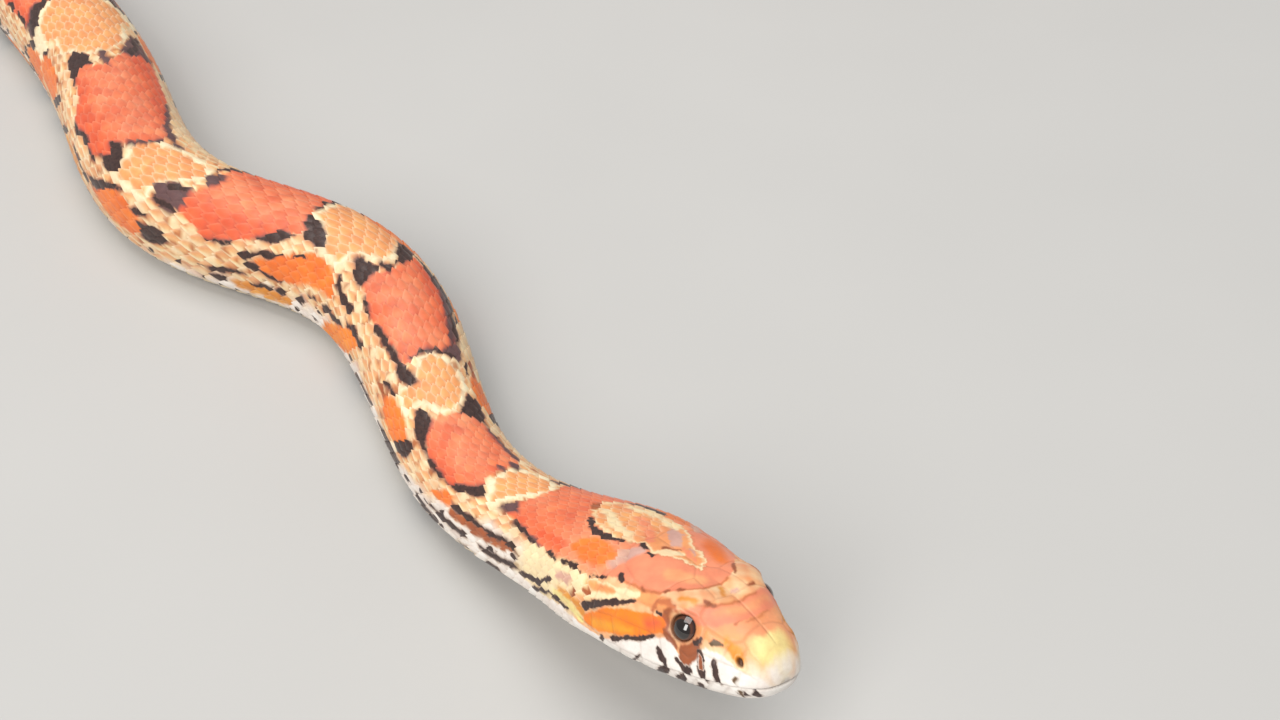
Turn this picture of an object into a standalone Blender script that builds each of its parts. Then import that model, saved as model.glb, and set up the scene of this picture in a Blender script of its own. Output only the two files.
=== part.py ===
# A corn snake on the ground, its head lifted a little. Metres, +Z up.
# The origin is at the middle of the footprint, on the ground, and the head lies towards -Y.
# One skin surface is worked out along the spine and cut across into the lengths of the body.

import math

import bmesh
import bpy
import numpy as np
from mathutils import Vector

MM = 0.001

# Driving dimensions
TOTAL_LENGTH = 1100 * MM
VENT_AT = 925 * MM
HEAD_REAR_AT = 34 * MM
NECK_REAR_AT = 92 * MM
BODY_LENGTHS = 8
TAIL_LENGTHS = 2
EYE_DIAMETER = 3.5 * MM
EYE_AT = 9.6 * MM
EYE_HEIGHT = 6.75 * MM
EYE_FROM_MIDDLE = 4.95 * MM
NOSTRIL_AT = 2.7 * MM
NOSTRIL_HEIGHT = 5.1 * MM
NOSTRIL_DIAMETER = 1.1 * MM
MOUTH_CORNER_AT = 24.5 * MM
GAP = 0.3 * MM
HEAD_ROLL = math.radians(-12)
ROLL_ENDS_AT = 70 * MM

# How finely the solids are faceted
BODY_SIDES = 20
BODY_STEP = 6 * MM
HEAD_SIDES = 32
HEAD_STEP = 1.1 * MM
SPINE_STEP = 1 * MM
SPINE_SOFTNESS = 7 * MM

# The line of the belly, snout first: across, along and above the ground, in millimetres.
# The first two points are the straight head.
ROUTE = (
    (15.2, 90.6, 17.3), (-3.4, 112.6, 8.0), (-13.0, 122.0, 4.0), (-22.0, 133.0, 1.1),
    (-29.2, 149.0, 0.0), (-34.6, 164.0, 0.0), (-42.5, 178.0, 0.0), (-55.5, 187.0, 0.0),
    (-70.5, 193.8, 0.0), (-84.0, 207.0, 0.0), (-98.5, 235.0, 0.0), (-115.5, 263.5, 0.0),
    (-139.5, 298.0, 0.0), (-155.5, 342.0, 0.0), (-144.0, 386.0, 0.0), (-105.0, 415.0, 0.0),
    (-55.0, 420.0, 0.0), (-7.0, 404.0, 0.0), (35.0, 377.0, 0.0), (84.0, 363.0, 0.0),
    (133.0, 374.0, 0.0), (164.0, 411.0, 0.0), (161.0, 458.0, 0.0), (126.0, 490.0, 0.0),
    (78.0, 497.0, 0.0), (30.0, 488.0, 0.0), (-17.0, 493.0, 0.0), (-57.0, 518.0, 0.0),
    (-102.0, 533.0, 0.0), (-150.0, 528.0, 0.0), (-235.0, 500.0, 0.0),
)

# The girth along the snake in millimetres: distance from the snout, half width,
# height of the back and height of the underside, both above the line of the belly
GIRTH = (
    (0.0, 1.1, 4.1, 2.5), (0.3, 2.1, 5.0, 1.6), (0.9, 3.0, 5.9, 0.9), (1.8, 3.75, 6.7, 0.5),
    (3.0, 4.5, 7.4, 0.2), (5.0, 5.4, 8.3, 0.05), (7.5, 6.45, 9.2, 0.0), (10.7, 7.3, 10.0, 0.0),
    (14.0, 8.0, 10.7, 0.0), (18.0, 8.7, 11.3, 0.0), (22.0, 9.0, 11.7, 0.0), (25.5, 9.2, 11.8, 0.0),
    (29.0, 9.0, 11.7, 0.0), (34.0, 8.2, 11.4, 0.0), (40.0, 7.4, 11.0, 0.0), (47.0, 6.8, 10.9, 0.0),
    (58.0, 6.9, 11.3, 0.0), (75.0, 7.5, 12.4, 0.0), (95.0, 8.6, 14.2, 0.0), (120.0, 9.3, 15.4, 0.0),
    (190.0, 9.9, 16.4, 0.0), (300.0, 11.2, 18.4, 0.0), (480.0, 12.5, 20.4, 0.0),
    (650.0, 12.3, 20.0, 0.0), (790.0, 10.9, 17.8, 0.0), (880.0, 9.0, 14.8, 0.0),
    (925.0, 7.6, 12.6, 0.0), (955.0, 6.6, 11.2, 0.0), (1005.0, 5.0, 8.6, 0.0),
    (1050.0, 3.3, 5.8, 0.0), (1080.0, 1.9, 3.4, 0.0), (1096.0, 0.9, 1.7, 0.0),
    (1100.0, 0.3, 0.6, 0.0),
)

# How square the section is above and below its widest level, by distance from the snout
SQUARENESS = (
    (0.0, 2.1, 2.3), (6.0, 2.5, 3.3), (15.0, 2.6, 3.9), (24.0, 2.6, 3.6), (40.0, 2.2, 3.2),
    (1100.0, 2.1, 3.2),
)
WIDEST_LEVEL = 0.4
BELLY_FLATTENING = 1.04

# The line of the mouth: distance from the snout and height above the underside line
MOUTH_LINE = ((0.0, 2.3), (3.0, 2.2), (8.0, 2.2), (13.0, 2.0), (18.0, 2.2), (22.0, 2.9), (24.5, 3.7))
LIP_OVERHANG = 0.22
LIP_HEIGHT = 0.9

# Swellings and hollows of the head in millimetres: distance from the snout, height,
# amount outwards, and how far each fades along and up
RELIEF = (
    (10.4, 8.9, 0.85, 3.0, 1.1), (6.0, 5.8, -0.35, 2.2, 1.3), (20.0, 6.5, 0.25, 4.5, 2.6),
    (14.5, 6.2, -0.15, 2.0, 1.6),
)


def natural_spline(knots, values, at):
    """A smooth curve through values at knots, read at the given places."""
    knots = np.asarray(knots, float)
    values = np.asarray(values, float)
    gaps = np.diff(knots)
    count = len(knots)
    system = np.eye(count)
    right = np.zeros(values.shape)
    for i in range(1, count - 1):
        system[i, i - 1] = gaps[i - 1]
        system[i, i] = 2 * (gaps[i - 1] + gaps[i])
        system[i, i + 1] = gaps[i]
        rise_after = (values[i + 1] - values[i]) / gaps[i]
        rise_before = (values[i] - values[i - 1]) / gaps[i - 1]
        right[i] = 6 * (rise_after - rise_before)
    bend = np.linalg.solve(system, right)
    piece = np.clip(np.searchsorted(knots, at) - 1, 0, count - 2)
    width = gaps[piece]
    before = (knots[piece + 1] - at) / width
    after = 1 - before
    if values.ndim > 1:
        before, after, width = before[:, None], after[:, None], width[:, None]
    straight = before * values[piece] + after * values[piece + 1]
    curved = (before ** 3 - before) * bend[piece] + (after ** 3 - after) * bend[piece + 1]
    return straight + curved * width ** 2 / 6


def eased(table, at):
    """The columns of a table after its first, read between its rows without overshoot."""
    table = np.asarray(table, float)
    knots, values = table[:, 0], table[:, 1:]
    slopes = np.diff(values, axis=0) / np.diff(knots)[:, None]
    tangents = np.zeros_like(values)
    tangents[0], tangents[-1] = slopes[0], slopes[-1]
    same_way = slopes[:-1] * slopes[1:] > 0
    total = slopes[:-1] + slopes[1:]
    total[~same_way] = 1.0
    tangents[1:-1] = np.where(same_way, 2 * slopes[:-1] * slopes[1:] / total, 0.0)
    at = np.clip(np.atleast_1d(at), knots[0], knots[-1])
    piece = np.clip(np.searchsorted(knots, at) - 1, 0, len(knots) - 2)
    width = (knots[piece + 1] - knots[piece])[:, None]
    t = (at - knots[piece])[:, None] / width
    first, second = tangents[piece] * width, tangents[piece + 1] * width
    start = (2 * t ** 3 - 3 * t ** 2 + 1) * values[piece] + (t ** 3 - 2 * t ** 2 + t) * first
    end = (3 * t ** 2 - 2 * t ** 3) * values[piece + 1] + (t ** 3 - t ** 2) * second
    return start + end


def lengths_along(points):
    """The distance of each point from the first, along the line."""
    return np.concatenate(([0.0], np.cumsum(np.linalg.norm(np.diff(points, axis=0), axis=1))))


def evenly_spaced(points, step, length):
    """The line read every step up to length."""
    along = lengths_along(points)
    wanted = np.arange(0.0, length + step / 2, step)
    return np.stack([np.interp(wanted, along, points[:, k]) for k in range(3)], axis=1)


def softened(points, step, spread):
    """The line with its bends rounded by a bell-shaped average, its ends kept."""
    reach = int(3 * spread / step)
    offsets = np.arange(-reach, reach + 1) * step
    weights = np.exp(-0.5 * (offsets / spread) ** 2)
    weights /= weights.sum()
    before = 2 * points[0] - points[reach:0:-1]
    after = 2 * points[-1] - points[-2:-reach - 2:-1]
    padded = np.concatenate((before, points, after))
    return np.stack([np.convolve(padded[:, k], weights, mode="valid") for k in range(3)], axis=1)


def spine():
    """Points a step apart along the line of the belly, snout first."""
    route = np.array(ROUTE) * MM
    knots = lengths_along(route)
    smooth = natural_spline(knots, route, np.arange(0.0, knots[-1], SPINE_STEP))
    smooth[:, 2] = np.maximum(smooth[:, 2], 0.0)
    head_points = int(HEAD_REAR_AT / SPINE_STEP)
    along_head = np.linspace(0.0, 1.0, head_points)[:, None]
    straight_end = route[0] + (route[1] - route[0]) / np.linalg.norm(route[1] - route[0]) * HEAD_REAR_AT
    straight = route[0] * (1 - along_head) + straight_end * along_head
    keep = knots[1] + 8 * MM
    rest = smooth[int(keep / SPINE_STEP):]
    spare = 3 * SPINE_SOFTNESS
    line = evenly_spaced(np.concatenate((straight, rest)), SPINE_STEP, TOTAL_LENGTH + spare)
    line = softened(line, SPINE_STEP, SPINE_SOFTNESS)
    line = evenly_spaced(line, SPINE_STEP, TOTAL_LENGTH)
    line[:, 2] = np.where(line[:, 2] < 0.05 * MM, 0.0, line[:, 2])
    return line


SPINE = spine()
SPINE_AT = np.arange(len(SPINE)) * SPINE_STEP
TANGENTS = np.gradient(SPINE, axis=0)
TANGENTS /= np.linalg.norm(TANGENTS, axis=1)[:, None]


def frame_at(at):
    """The point of the belly line, the way back along it, and the snake's left and up there."""
    here = np.array([np.interp(at, SPINE_AT, SPINE[:, k]) for k in range(3)])
    back = np.array([np.interp(at, SPINE_AT, TANGENTS[:, k]) for k in range(3)])
    back /= np.linalg.norm(back)
    up = np.array((0.0, 0.0, 1.0)) - back[2] * back
    up /= np.linalg.norm(up)
    left = np.cross(back, up)
    ease = min(max((ROLL_ENDS_AT - at) / (ROLL_ENDS_AT - HEAD_REAR_AT), 0.0), 1.0)
    roll = HEAD_ROLL * ease * ease * (3 - 2 * ease)
    turned_left = left * math.cos(roll) + up * math.sin(roll)
    turned_up = up * math.cos(roll) - left * math.sin(roll)
    return here, back, turned_left, turned_up


def head_relief(at, across, height):
    """How far the head's surface stands out from its plain section at each point of an outline."""
    spread = np.zeros(len(across))
    for place, level, amount, along, upwards in RELIEF:
        fade = ((at / MM - place) / along) ** 2 + ((height / MM - level) / upwards) ** 2
        spread += amount * np.exp(-fade)
    sideways = np.clip(np.abs(across) / (2 * MM), 0.0, 1.0)
    spread *= sideways
    above_mouth = (height / MM - eased(MOUTH_LINE, at / MM)[0][0]) / LIP_HEIGHT
    lip = LIP_OVERHANG * np.tanh(2 * above_mouth) * np.exp(-above_mouth ** 2)
    closes = np.clip((MOUTH_CORNER_AT - at) / (4 * MM), 0.0, 1.0)
    return (spread + lip * closes) * MM


def section(at, sides):
    """The outline of the snake across one place, top first: (left, up) pairs, evenly spaced."""
    half_width, top, bottom = eased(GIRTH, at / MM)[0] * MM
    square_up, square_down = eased(SQUARENESS, at / MM)[0]
    middle = bottom + (top - bottom) * WIDEST_LEVEL
    turn = np.linspace(0.0, 2 * math.pi, 721)
    sine, cosine = np.sin(turn), np.cos(turn)
    power = np.where(cosine >= 0, 2 / square_up, 2 / square_down)
    across = half_width * np.sign(sine) * np.abs(sine) ** power
    reach = np.where(cosine >= 0, top - middle, (middle - bottom) * BELLY_FLATTENING)
    height = middle + reach * np.sign(cosine) * np.abs(cosine) ** power
    if at < HEAD_REAR_AT:
        spread = head_relief(at, across, height)
        reach = np.hypot(across, height - middle)
        across = across * (1 + spread / reach)
        height = middle + (height - middle) * (1 + spread / reach)
    height = np.maximum(height, bottom)
    outline = np.stack((across, height), axis=1)
    along = lengths_along(outline)
    wanted = np.arange(sides) / sides * along[-1]
    return np.stack([np.interp(wanted, along, outline[:, k]) for k in range(2)], axis=1)


def ring(at, sides, shift=0.0):
    """The outline placed in space, moved by shift back along the spine."""
    here, back, left, up = frame_at(at)
    outline = section(at, sides)
    return here + back * shift + outline[:, :1] * left + outline[:, 1:] * up


def lofted(name, rings):
    """A closed object through rings of points, with its two ends filled."""
    count = len(rings[0])
    mesh = bmesh.new()
    rows = [[mesh.verts.new(p) for p in points] for points in rings]
    for row, following in zip(rows, rows[1:]):
        for i in range(count):
            j = (i + 1) % count
            mesh.faces.new((row[i], following[i], following[j], row[j]))
    mesh.faces.new(rows[0])
    mesh.faces.new(rows[-1][::-1])
    bmesh.ops.recalc_face_normals(mesh, faces=mesh.faces)
    data = bpy.data.meshes.new(name)
    mesh.to_mesh(data)
    mesh.free()
    piece = bpy.data.objects.new(name, data)
    bpy.context.collection.objects.link(piece)
    data.shade_smooth()
    return piece


def finish(piece, material):
    """Give a piece its material and share its smooth shading out at sharp edges."""
    piece.data.materials.clear()
    piece.data.materials.append(material)
    piece.data.set_sharp_from_angle(angle=math.radians(35))


def coat(name, colour, roughness):
    """A plain material of one colour."""
    material = bpy.data.materials.new(name)
    material.use_nodes = True
    shader = material.node_tree.nodes["Principled BSDF"]
    shader.inputs["Base Color"].default_value = (*colour, 1.0)
    shader.inputs["Roughness"].default_value = roughness
    shader.inputs["Metallic"].default_value = 0.0
    return material


def length_of_body(name, start, end, material):
    """One length of the body between two cuts, half a gap short at each."""
    steps = max(2, round((end - start) / BODY_STEP))
    rings = [ring(start, BODY_SIDES, GAP / 2)]
    for i in range(1, steps):
        rings.append(ring(start + (end - start) * i / steps, BODY_SIDES))
    if end < TOTAL_LENGTH:
        rings.append(ring(end, BODY_SIDES, -GAP / 2))
    else:
        rings.append(ring(end, BODY_SIDES))
    finish(lofted(name, rings), material)


def head_places():
    """Where the head's rings stand: close at the snout, then a step apart."""
    places = [0.0, 0.15 * MM, 0.4 * MM, 0.8 * MM, 1.3 * MM, 2.0 * MM]
    while places[-1] + 1.5 * HEAD_STEP < HEAD_REAR_AT:
        places.append(places[-1] + HEAD_STEP)
    return places


def whole_head(name):
    """The head in one piece, mouth shut, before the jaw is parted from it."""
    rings = [ring(at, HEAD_SIDES) for at in head_places()]
    rings.append(ring(HEAD_REAR_AT, HEAD_SIDES, -GAP / 2))
    return lofted(name, rings)


def in_head(at, left_of_middle, height):
    """A point given along, across and above the head's underside line."""
    here, back, left, up = frame_at(at)
    return here + left * left_of_middle + up * height


def jaw_block(name, raised, behind):
    """A closed block whose top follows the line of the mouth and whose back stands at its corner."""
    side = 14 * MM
    below = -8 * MM
    places = [-4 * MM] + [row[0] * MM for row in MOUTH_LINE[:-1]] + [MOUTH_CORNER_AT + behind]
    rings = []
    for at in places:
        height = eased(MOUTH_LINE, max(at, 0.0) / MM)[0][0] * MM + raised
        here, back, left, up = frame_at(max(at, 0.0))
        here = here + back * min(at, 0.0)
        corners = ((-side, below), (-side, height), (side, height), (side, below))
        rings.append([here + left * across + up * high for across, high in corners])
    return lofted(name, rings)


def ball(name, centre, diameter, segments, rings):
    """A closed ball."""
    mesh = bmesh.new()
    bmesh.ops.create_uvsphere(mesh, u_segments=segments, v_segments=rings, radius=diameter / 2)
    bmesh.ops.translate(mesh, verts=mesh.verts, vec=Vector(centre))
    data = bpy.data.meshes.new(name)
    mesh.to_mesh(data)
    mesh.free()
    piece = bpy.data.objects.new(name, data)
    bpy.context.collection.objects.link(piece)
    data.shade_smooth()
    return piece


def combine(piece, cutter, operation, solver="EXACT"):
    """Apply one Boolean to a piece and take its cutter away."""
    modifier = piece.modifiers.new(cutter.name, "BOOLEAN")
    modifier.operation = operation
    modifier.object = cutter
    modifier.solver = solver
    depsgraph = bpy.context.evaluated_depsgraph_get()
    depsgraph.update()
    result = bpy.data.meshes.new_from_object(piece.evaluated_get(depsgraph))
    piece.modifiers.clear()
    old = piece.data
    piece.data = result
    bpy.data.meshes.remove(old)
    bpy.data.objects.remove(cutter, do_unlink=True)


def head_and_jaw(skin, chin):
    """The head with its eye sockets and nostrils, and the lower jaw under the line of the mouth."""
    head = whole_head("head")
    combine(head, jaw_block("jaw_room", GAP / 2, GAP), "DIFFERENCE")
    jaw = whole_head("lower_jaw")
    combine(jaw, jaw_block("jaw_share", -GAP / 2, 0.0), "INTERSECT")
    for side in (-1, 1):
        socket = in_head(EYE_AT, side * EYE_FROM_MIDDLE, EYE_HEIGHT)
        hollow = ball("socket", socket, EYE_DIAMETER + 2 * GAP, 20, 12)
        combine(head, hollow, "DIFFERENCE", solver="MANIFOLD")
        half_width = eased(GIRTH, NOSTRIL_AT / MM)[0][0] * MM
        nostril = in_head(NOSTRIL_AT, side * half_width * 0.92, NOSTRIL_HEIGHT)
        dent = ball("nostril", nostril, NOSTRIL_DIAMETER, 10, 6)
        combine(head, dent, "DIFFERENCE", solver="MANIFOLD")
    finish(head, skin)
    finish(jaw, chin)


def eyes(material):
    """The two eyes, a gap clear of their sockets."""
    for name, side in (("eye_left", 1), ("eye_right", -1)):
        centre = in_head(EYE_AT, side * EYE_FROM_MIDDLE, EYE_HEIGHT)
        eye = ball(name, centre, EYE_DIAMETER, 20, 12)
        finish(eye, material)


def centre_on_origin():
    """Move every piece so that the footprint's middle is at the origin and the belly on the ground."""
    pieces = list(bpy.context.collection.objects)
    corners = [v.co for piece in pieces for v in piece.data.vertices]
    low = Vector([min(c[k] for c in corners) for k in range(3)])
    high = Vector([max(c[k] for c in corners) for k in range(3)])
    shift = Vector((-(low.x + high.x) / 2, -(low.y + high.y) / 2, -low.z))
    for piece in pieces:
        for vertex in piece.data.vertices:
            vertex.co += shift
        piece.data.update()


def main():
    for old in list(bpy.data.objects):
        bpy.data.objects.remove(old, do_unlink=True)
    orange = coat("blotched_orange", (0.70, 0.22, 0.07), 0.45)
    cream = coat("cream_chin", (0.80, 0.68, 0.48), 0.45)
    dark = coat("dark_eye", (0.015, 0.01, 0.008), 0.08)
    head_and_jaw(orange, cream)
    eyes(dark)
    length_of_body("neck", HEAD_REAR_AT, NECK_REAR_AT, orange)
    for i in range(BODY_LENGTHS):
        share = (VENT_AT - NECK_REAR_AT) / BODY_LENGTHS
        start = NECK_REAR_AT + i * share
        length_of_body(f"body_{i + 1}", start, start + share, orange)
    for i in range(TAIL_LENGTHS):
        share = (TOTAL_LENGTH - VENT_AT) / TAIL_LENGTHS
        start = VENT_AT + i * share
        end = TOTAL_LENGTH if i == TAIL_LENGTHS - 1 else start + share
        length_of_body(f"tail_{i + 1}", start, end, orange)
    centre_on_origin()


main()
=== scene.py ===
import math

import bpy
import numpy as np
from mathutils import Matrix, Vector


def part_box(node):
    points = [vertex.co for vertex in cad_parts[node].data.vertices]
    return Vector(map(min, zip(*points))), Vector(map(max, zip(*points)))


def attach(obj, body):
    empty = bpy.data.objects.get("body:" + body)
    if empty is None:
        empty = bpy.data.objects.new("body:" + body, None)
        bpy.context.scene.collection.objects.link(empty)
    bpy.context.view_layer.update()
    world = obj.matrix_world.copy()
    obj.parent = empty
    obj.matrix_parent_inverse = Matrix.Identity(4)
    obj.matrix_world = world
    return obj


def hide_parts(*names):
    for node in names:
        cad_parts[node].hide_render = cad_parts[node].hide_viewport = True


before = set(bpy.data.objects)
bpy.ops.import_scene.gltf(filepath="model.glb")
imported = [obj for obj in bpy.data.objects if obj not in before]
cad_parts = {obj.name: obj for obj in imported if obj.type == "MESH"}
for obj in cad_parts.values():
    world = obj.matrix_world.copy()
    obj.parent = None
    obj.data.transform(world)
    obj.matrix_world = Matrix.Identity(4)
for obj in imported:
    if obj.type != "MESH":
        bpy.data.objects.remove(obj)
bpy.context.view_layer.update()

MM = 0.001

# The snake's own measures, as in the part
TOTAL_LENGTH = 1100 * MM
VENT_AT = 925 * MM
HEAD_REAR_AT = 34 * MM
EYE_DIAMETER = 3.5 * MM
EYE_AT = 9.6 * MM
EYE_HEIGHT = 6.75 * MM
EYE_FROM_MIDDLE = 4.95 * MM
MOUTH_CORNER_AT = 24.5 * MM
HEAD_ROLL = math.radians(-12)
ROLL_ENDS_AT = 70 * MM
SPINE_STEP = 1 * MM
SPINE_SOFTNESS = 7 * MM
HEAD_JOINS_WITHIN = 8 * MM

# The line of the belly, snout first, in millimetres
ROUTE = (
    (15.2, 90.6, 17.3), (-3.4, 112.6, 8), (-13, 122, 4), (-22, 133, 1.1), (-29.2, 149, 0),
    (-34.6, 164, 0), (-42.5, 178, 0), (-55.5, 187, 0), (-70.5, 193.8, 0), (-84, 207, 0), (-98.5, 235, 0),
    (-115.5, 263.5, 0), (-139.5, 298, 0), (-155.5, 342, 0), (-144, 386, 0), (-105, 415, 0), (-55, 420, 0),
    (-7, 404, 0), (35, 377, 0), (84, 363, 0), (133, 374, 0), (164, 411, 0), (161, 458, 0), (126, 490, 0),
    (78, 497, 0), (30, 488, 0), (-17, 493, 0), (-57, 518, 0), (-102, 533, 0), (-150, 528, 0),
    (-235, 500, 0),
)
# Millimetres from the snout: half width, top and underside
GIRTH = (
    (0, 1.1, 4.1, 2.5), (0.3, 2.1, 5, 1.6), (0.9, 3, 5.9, 0.9), (1.8, 3.75, 6.7, 0.5), (3, 4.5, 7.4, 0.2),
    (5, 5.4, 8.3, 0.05), (7.5, 6.45, 9.2, 0), (10.7, 7.3, 10, 0), (14, 8, 10.7, 0), (18, 8.7, 11.3, 0),
    (22, 9, 11.7, 0), (25.5, 9.2, 11.8, 0), (29, 9, 11.7, 0), (34, 8.2, 11.4, 0), (40, 7.4, 11, 0),
    (47, 6.8, 10.9, 0), (58, 6.9, 11.3, 0), (75, 7.5, 12.4, 0), (95, 8.6, 14.2, 0), (120, 9.3, 15.4, 0),
    (190, 9.9, 16.4, 0), (300, 11.2, 18.4, 0), (480, 12.5, 20.4, 0), (650, 12.3, 20, 0),
    (790, 10.9, 17.8, 0), (880, 9, 14.8, 0), (925, 7.6, 12.6, 0), (955, 6.6, 11.2, 0), (1005, 5, 8.6, 0),
    (1050, 3.3, 5.8, 0), (1080, 1.9, 3.4, 0), (1096, 0.9, 1.7, 0), (1100, 0.3, 0.6, 0),
)
# Millimetres from the snout: how square the section is above and below its widest level
SQUARENESS = (
    (0, 2.1, 2.3), (6, 2.5, 3.3), (15, 2.6, 3.9), (24, 2.6, 3.6), (40, 2.2, 3.2), (1100, 2.1, 3.2),
)
WIDEST_LEVEL = 0.4
BELLY_FLATTENING = 1.04
MOUTH_LINE = ((0, 2.3), (3, 2.2), (8, 2.2), (13, 2), (18, 2.2), (22, 2.9), (24.5, 3.7))
LIP_OVERHANG = 0.22
LIP_HEIGHT = 0.9
# Swellings and hollows of the head: place, level, amount, length and height
RELIEF = (
    (10.4, 8.9, 0.85, 3, 1.1), (6, 5.8, -0.35, 2.2, 1.3), (20, 6.5, 0.25, 4.5, 2.6),
    (14.5, 6.2, -0.15, 2, 1.6),
)

# The skin: its rings, and in millimetres along it and round it the nostrils, the way the eyes look,
# the seams between plates and the mouth
NOSTRIL_AT = 2.7
NOSTRIL_ARC = 4.75
EYE_LOOKS_AT = (9.2, 7.75)
HEAD_SKIN_ENDS_AT = 27.0
BODY_SKIN_OVERLAP = 1.6
HEAD_RINGS = 225
HEAD_SIDES = 288
OUTLINE_SIDES = 720
BODY_RINGS = 430
BODY_SIDES = 44
TABLE_SIDES = 240
SEAM_REACH = 0.12
SEAM_DEPTH = 0.075
PLATE_CROWN = 0.05
MOUTH_REACH = 0.16
MOUTH_DEPTH = 0.42
NOSTRIL_DEPTH = 0.55
NOSTRIL_LIP = 0.07
# Share of its markings' brightness that the skin under the scales keeps: painted shade beneath the coat
UNDER_SCALES_SHADE = 0.7

# The coat of scales, in millimetres and in shares of the skin, of a row and of a pitch
COAT_DEPTH = 0.32
DORSAL_SHARE = 0.655
ROWS_BESIDE_MIDDLE = 13.5
SCALES_START_AT = 16.0
SCUTES_START_AT = 28.6
SCALE_WIDTH = 0.86
SCALE_LENGTH = 1.34
SCUTE_LENGTH = 1.3
SCALES_IN_A_PIECE = 2100
# Millimetres from the snout: rows of scales on each side of the middle row
DORSAL_ROWS = (
    (0, 17.2), (28, 16.6), (45, 14.8), (70, 13.4), (90, 13.2), (850, 13.2), (925, 10), (1000, 7),
    (1050, 5), (1085, 3), (1100, 2),
)
# Millimetres from the snout: how far apart the rings of scales are
SCALE_PITCH = (
    (18, 1.55), (30, 1.8), (45, 2.2), (100, 2.9), (190, 3.4), (400, 4.2), (650, 4.3), (850, 4),
    (925, 3.2), (1010, 2.5), (1060, 2), (1100, 1.5),
)

# Colours of the markings as they look in daylight, how dark a scale of that colour counts, and how
# far its border is paler than its middle
PAINTS = {
    "tan": ((244, 156, 98), 0.0, 0.75), "cream": ((255, 230, 182), 0.0, 0.6),
    "shell": ((255, 240, 200), 0.0, 0.6), "net": ((226, 152, 98), 0.0, 1.6),
    "white": ((255, 252, 244), 0.0, 0.1), "salmon": ((244, 140, 106), 0.0, 0.25),
    "rust": ((229, 90, 56), 0.0, 0.15), "deep_rust": ((186, 60, 38), 0.3, 0.1),
    "orange": ((242, 114, 42), 0.0, 0.14), "flame": ((255, 128, 26), 0.0, 0.1),
    "lilac": ((204, 160, 150), 0.0, 0.3), "plum": ((74, 60, 70), 0.8, 0.05),
    "soot": ((30, 21, 20), 1.0, 0.0), "brown": ((146, 78, 44), 0.2, 0.1),
    "umber": ((196, 112, 70), 0.0, 0.1), "ochre": ((226, 144, 54), 0.0, 0.3),
    "straw": ((246, 228, 150), 0.0, 0.2), "amber": ((255, 160, 36), 0.0, 0.1),
    "olive": ((84, 68, 44), 0.5, 0.0), "peach": ((250, 160, 112), 0.0, 0.4),
}


def natural_spline(knots, values, at):
    """A smooth curve through values at knots, read at the given places."""
    knots = np.asarray(knots, float)
    values = np.asarray(values, float)
    gaps = np.diff(knots)
    count = len(knots)
    system = np.eye(count)
    right = np.zeros(values.shape)
    for i in range(1, count - 1):
        system[i, i - 1] = gaps[i - 1]
        system[i, i] = 2 * (gaps[i - 1] + gaps[i])
        system[i, i + 1] = gaps[i]
        rise_after = (values[i + 1] - values[i]) / gaps[i]
        rise_before = (values[i] - values[i - 1]) / gaps[i - 1]
        right[i] = 6 * (rise_after - rise_before)
    bend = np.linalg.solve(system, right)
    piece = np.clip(np.searchsorted(knots, at) - 1, 0, count - 2)
    width = gaps[piece]
    before = (knots[piece + 1] - at) / width
    after = 1 - before
    before, after, width = before[:, None], after[:, None], width[:, None]
    straight = before * values[piece] + after * values[piece + 1]
    curved = (before ** 3 - before) * bend[piece] + (after ** 3 - after) * bend[piece + 1]
    return straight + curved * width ** 2 / 6


def eased(table, at):
    """The columns of a table after its first, read between its rows without overshoot."""
    table = np.asarray(table, float)
    knots, values = table[:, 0], table[:, 1:]
    slopes = np.diff(values, axis=0) / np.diff(knots)[:, None]
    tangents = np.zeros_like(values)
    tangents[0], tangents[-1] = slopes[0], slopes[-1]
    same_way = slopes[:-1] * slopes[1:] > 0
    total = slopes[:-1] + slopes[1:]
    total[~same_way] = 1.0
    tangents[1:-1] = np.where(same_way, 2 * slopes[:-1] * slopes[1:] / total, 0.0)
    at = np.clip(np.atleast_1d(at), knots[0], knots[-1])
    piece = np.clip(np.searchsorted(knots, at) - 1, 0, len(knots) - 2)
    width = (knots[piece + 1] - knots[piece])[:, None]
    t = (at - knots[piece])[:, None] / width
    first, second = tangents[piece] * width, tangents[piece + 1] * width
    start = (2 * t ** 3 - 3 * t ** 2 + 1) * values[piece] + (t ** 3 - 2 * t ** 2 + t) * first
    end = (3 * t ** 2 - 2 * t ** 3) * values[piece + 1] + (t ** 3 - t ** 2) * second
    return start + end


def lengths_along(points):
    """The distance of each point from the first, along the line."""
    return np.concatenate(([0.0], np.cumsum(np.linalg.norm(np.diff(points, axis=0), axis=1))))


def evenly_spaced(points, step, length):
    """The line read every step up to length."""
    along = lengths_along(points)
    wanted = np.arange(0.0, length + step / 2, step)
    return np.stack([np.interp(wanted, along, points[:, k]) for k in range(3)], axis=1)


def softened(points, step, spread):
    """The line with its bends rounded by a bell-shaped average, its ends kept."""
    reach = int(3 * spread / step)
    offsets = np.arange(-reach, reach + 1) * step
    weights = np.exp(-0.5 * (offsets / spread) ** 2)
    weights /= weights.sum()
    before = 2 * points[0] - points[reach:0:-1]
    after = 2 * points[-1] - points[-2:-reach - 2:-1]
    padded = np.concatenate((before, points, after))
    return np.stack([np.convolve(padded[:, k], weights, mode="valid") for k in range(3)], axis=1)


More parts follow.
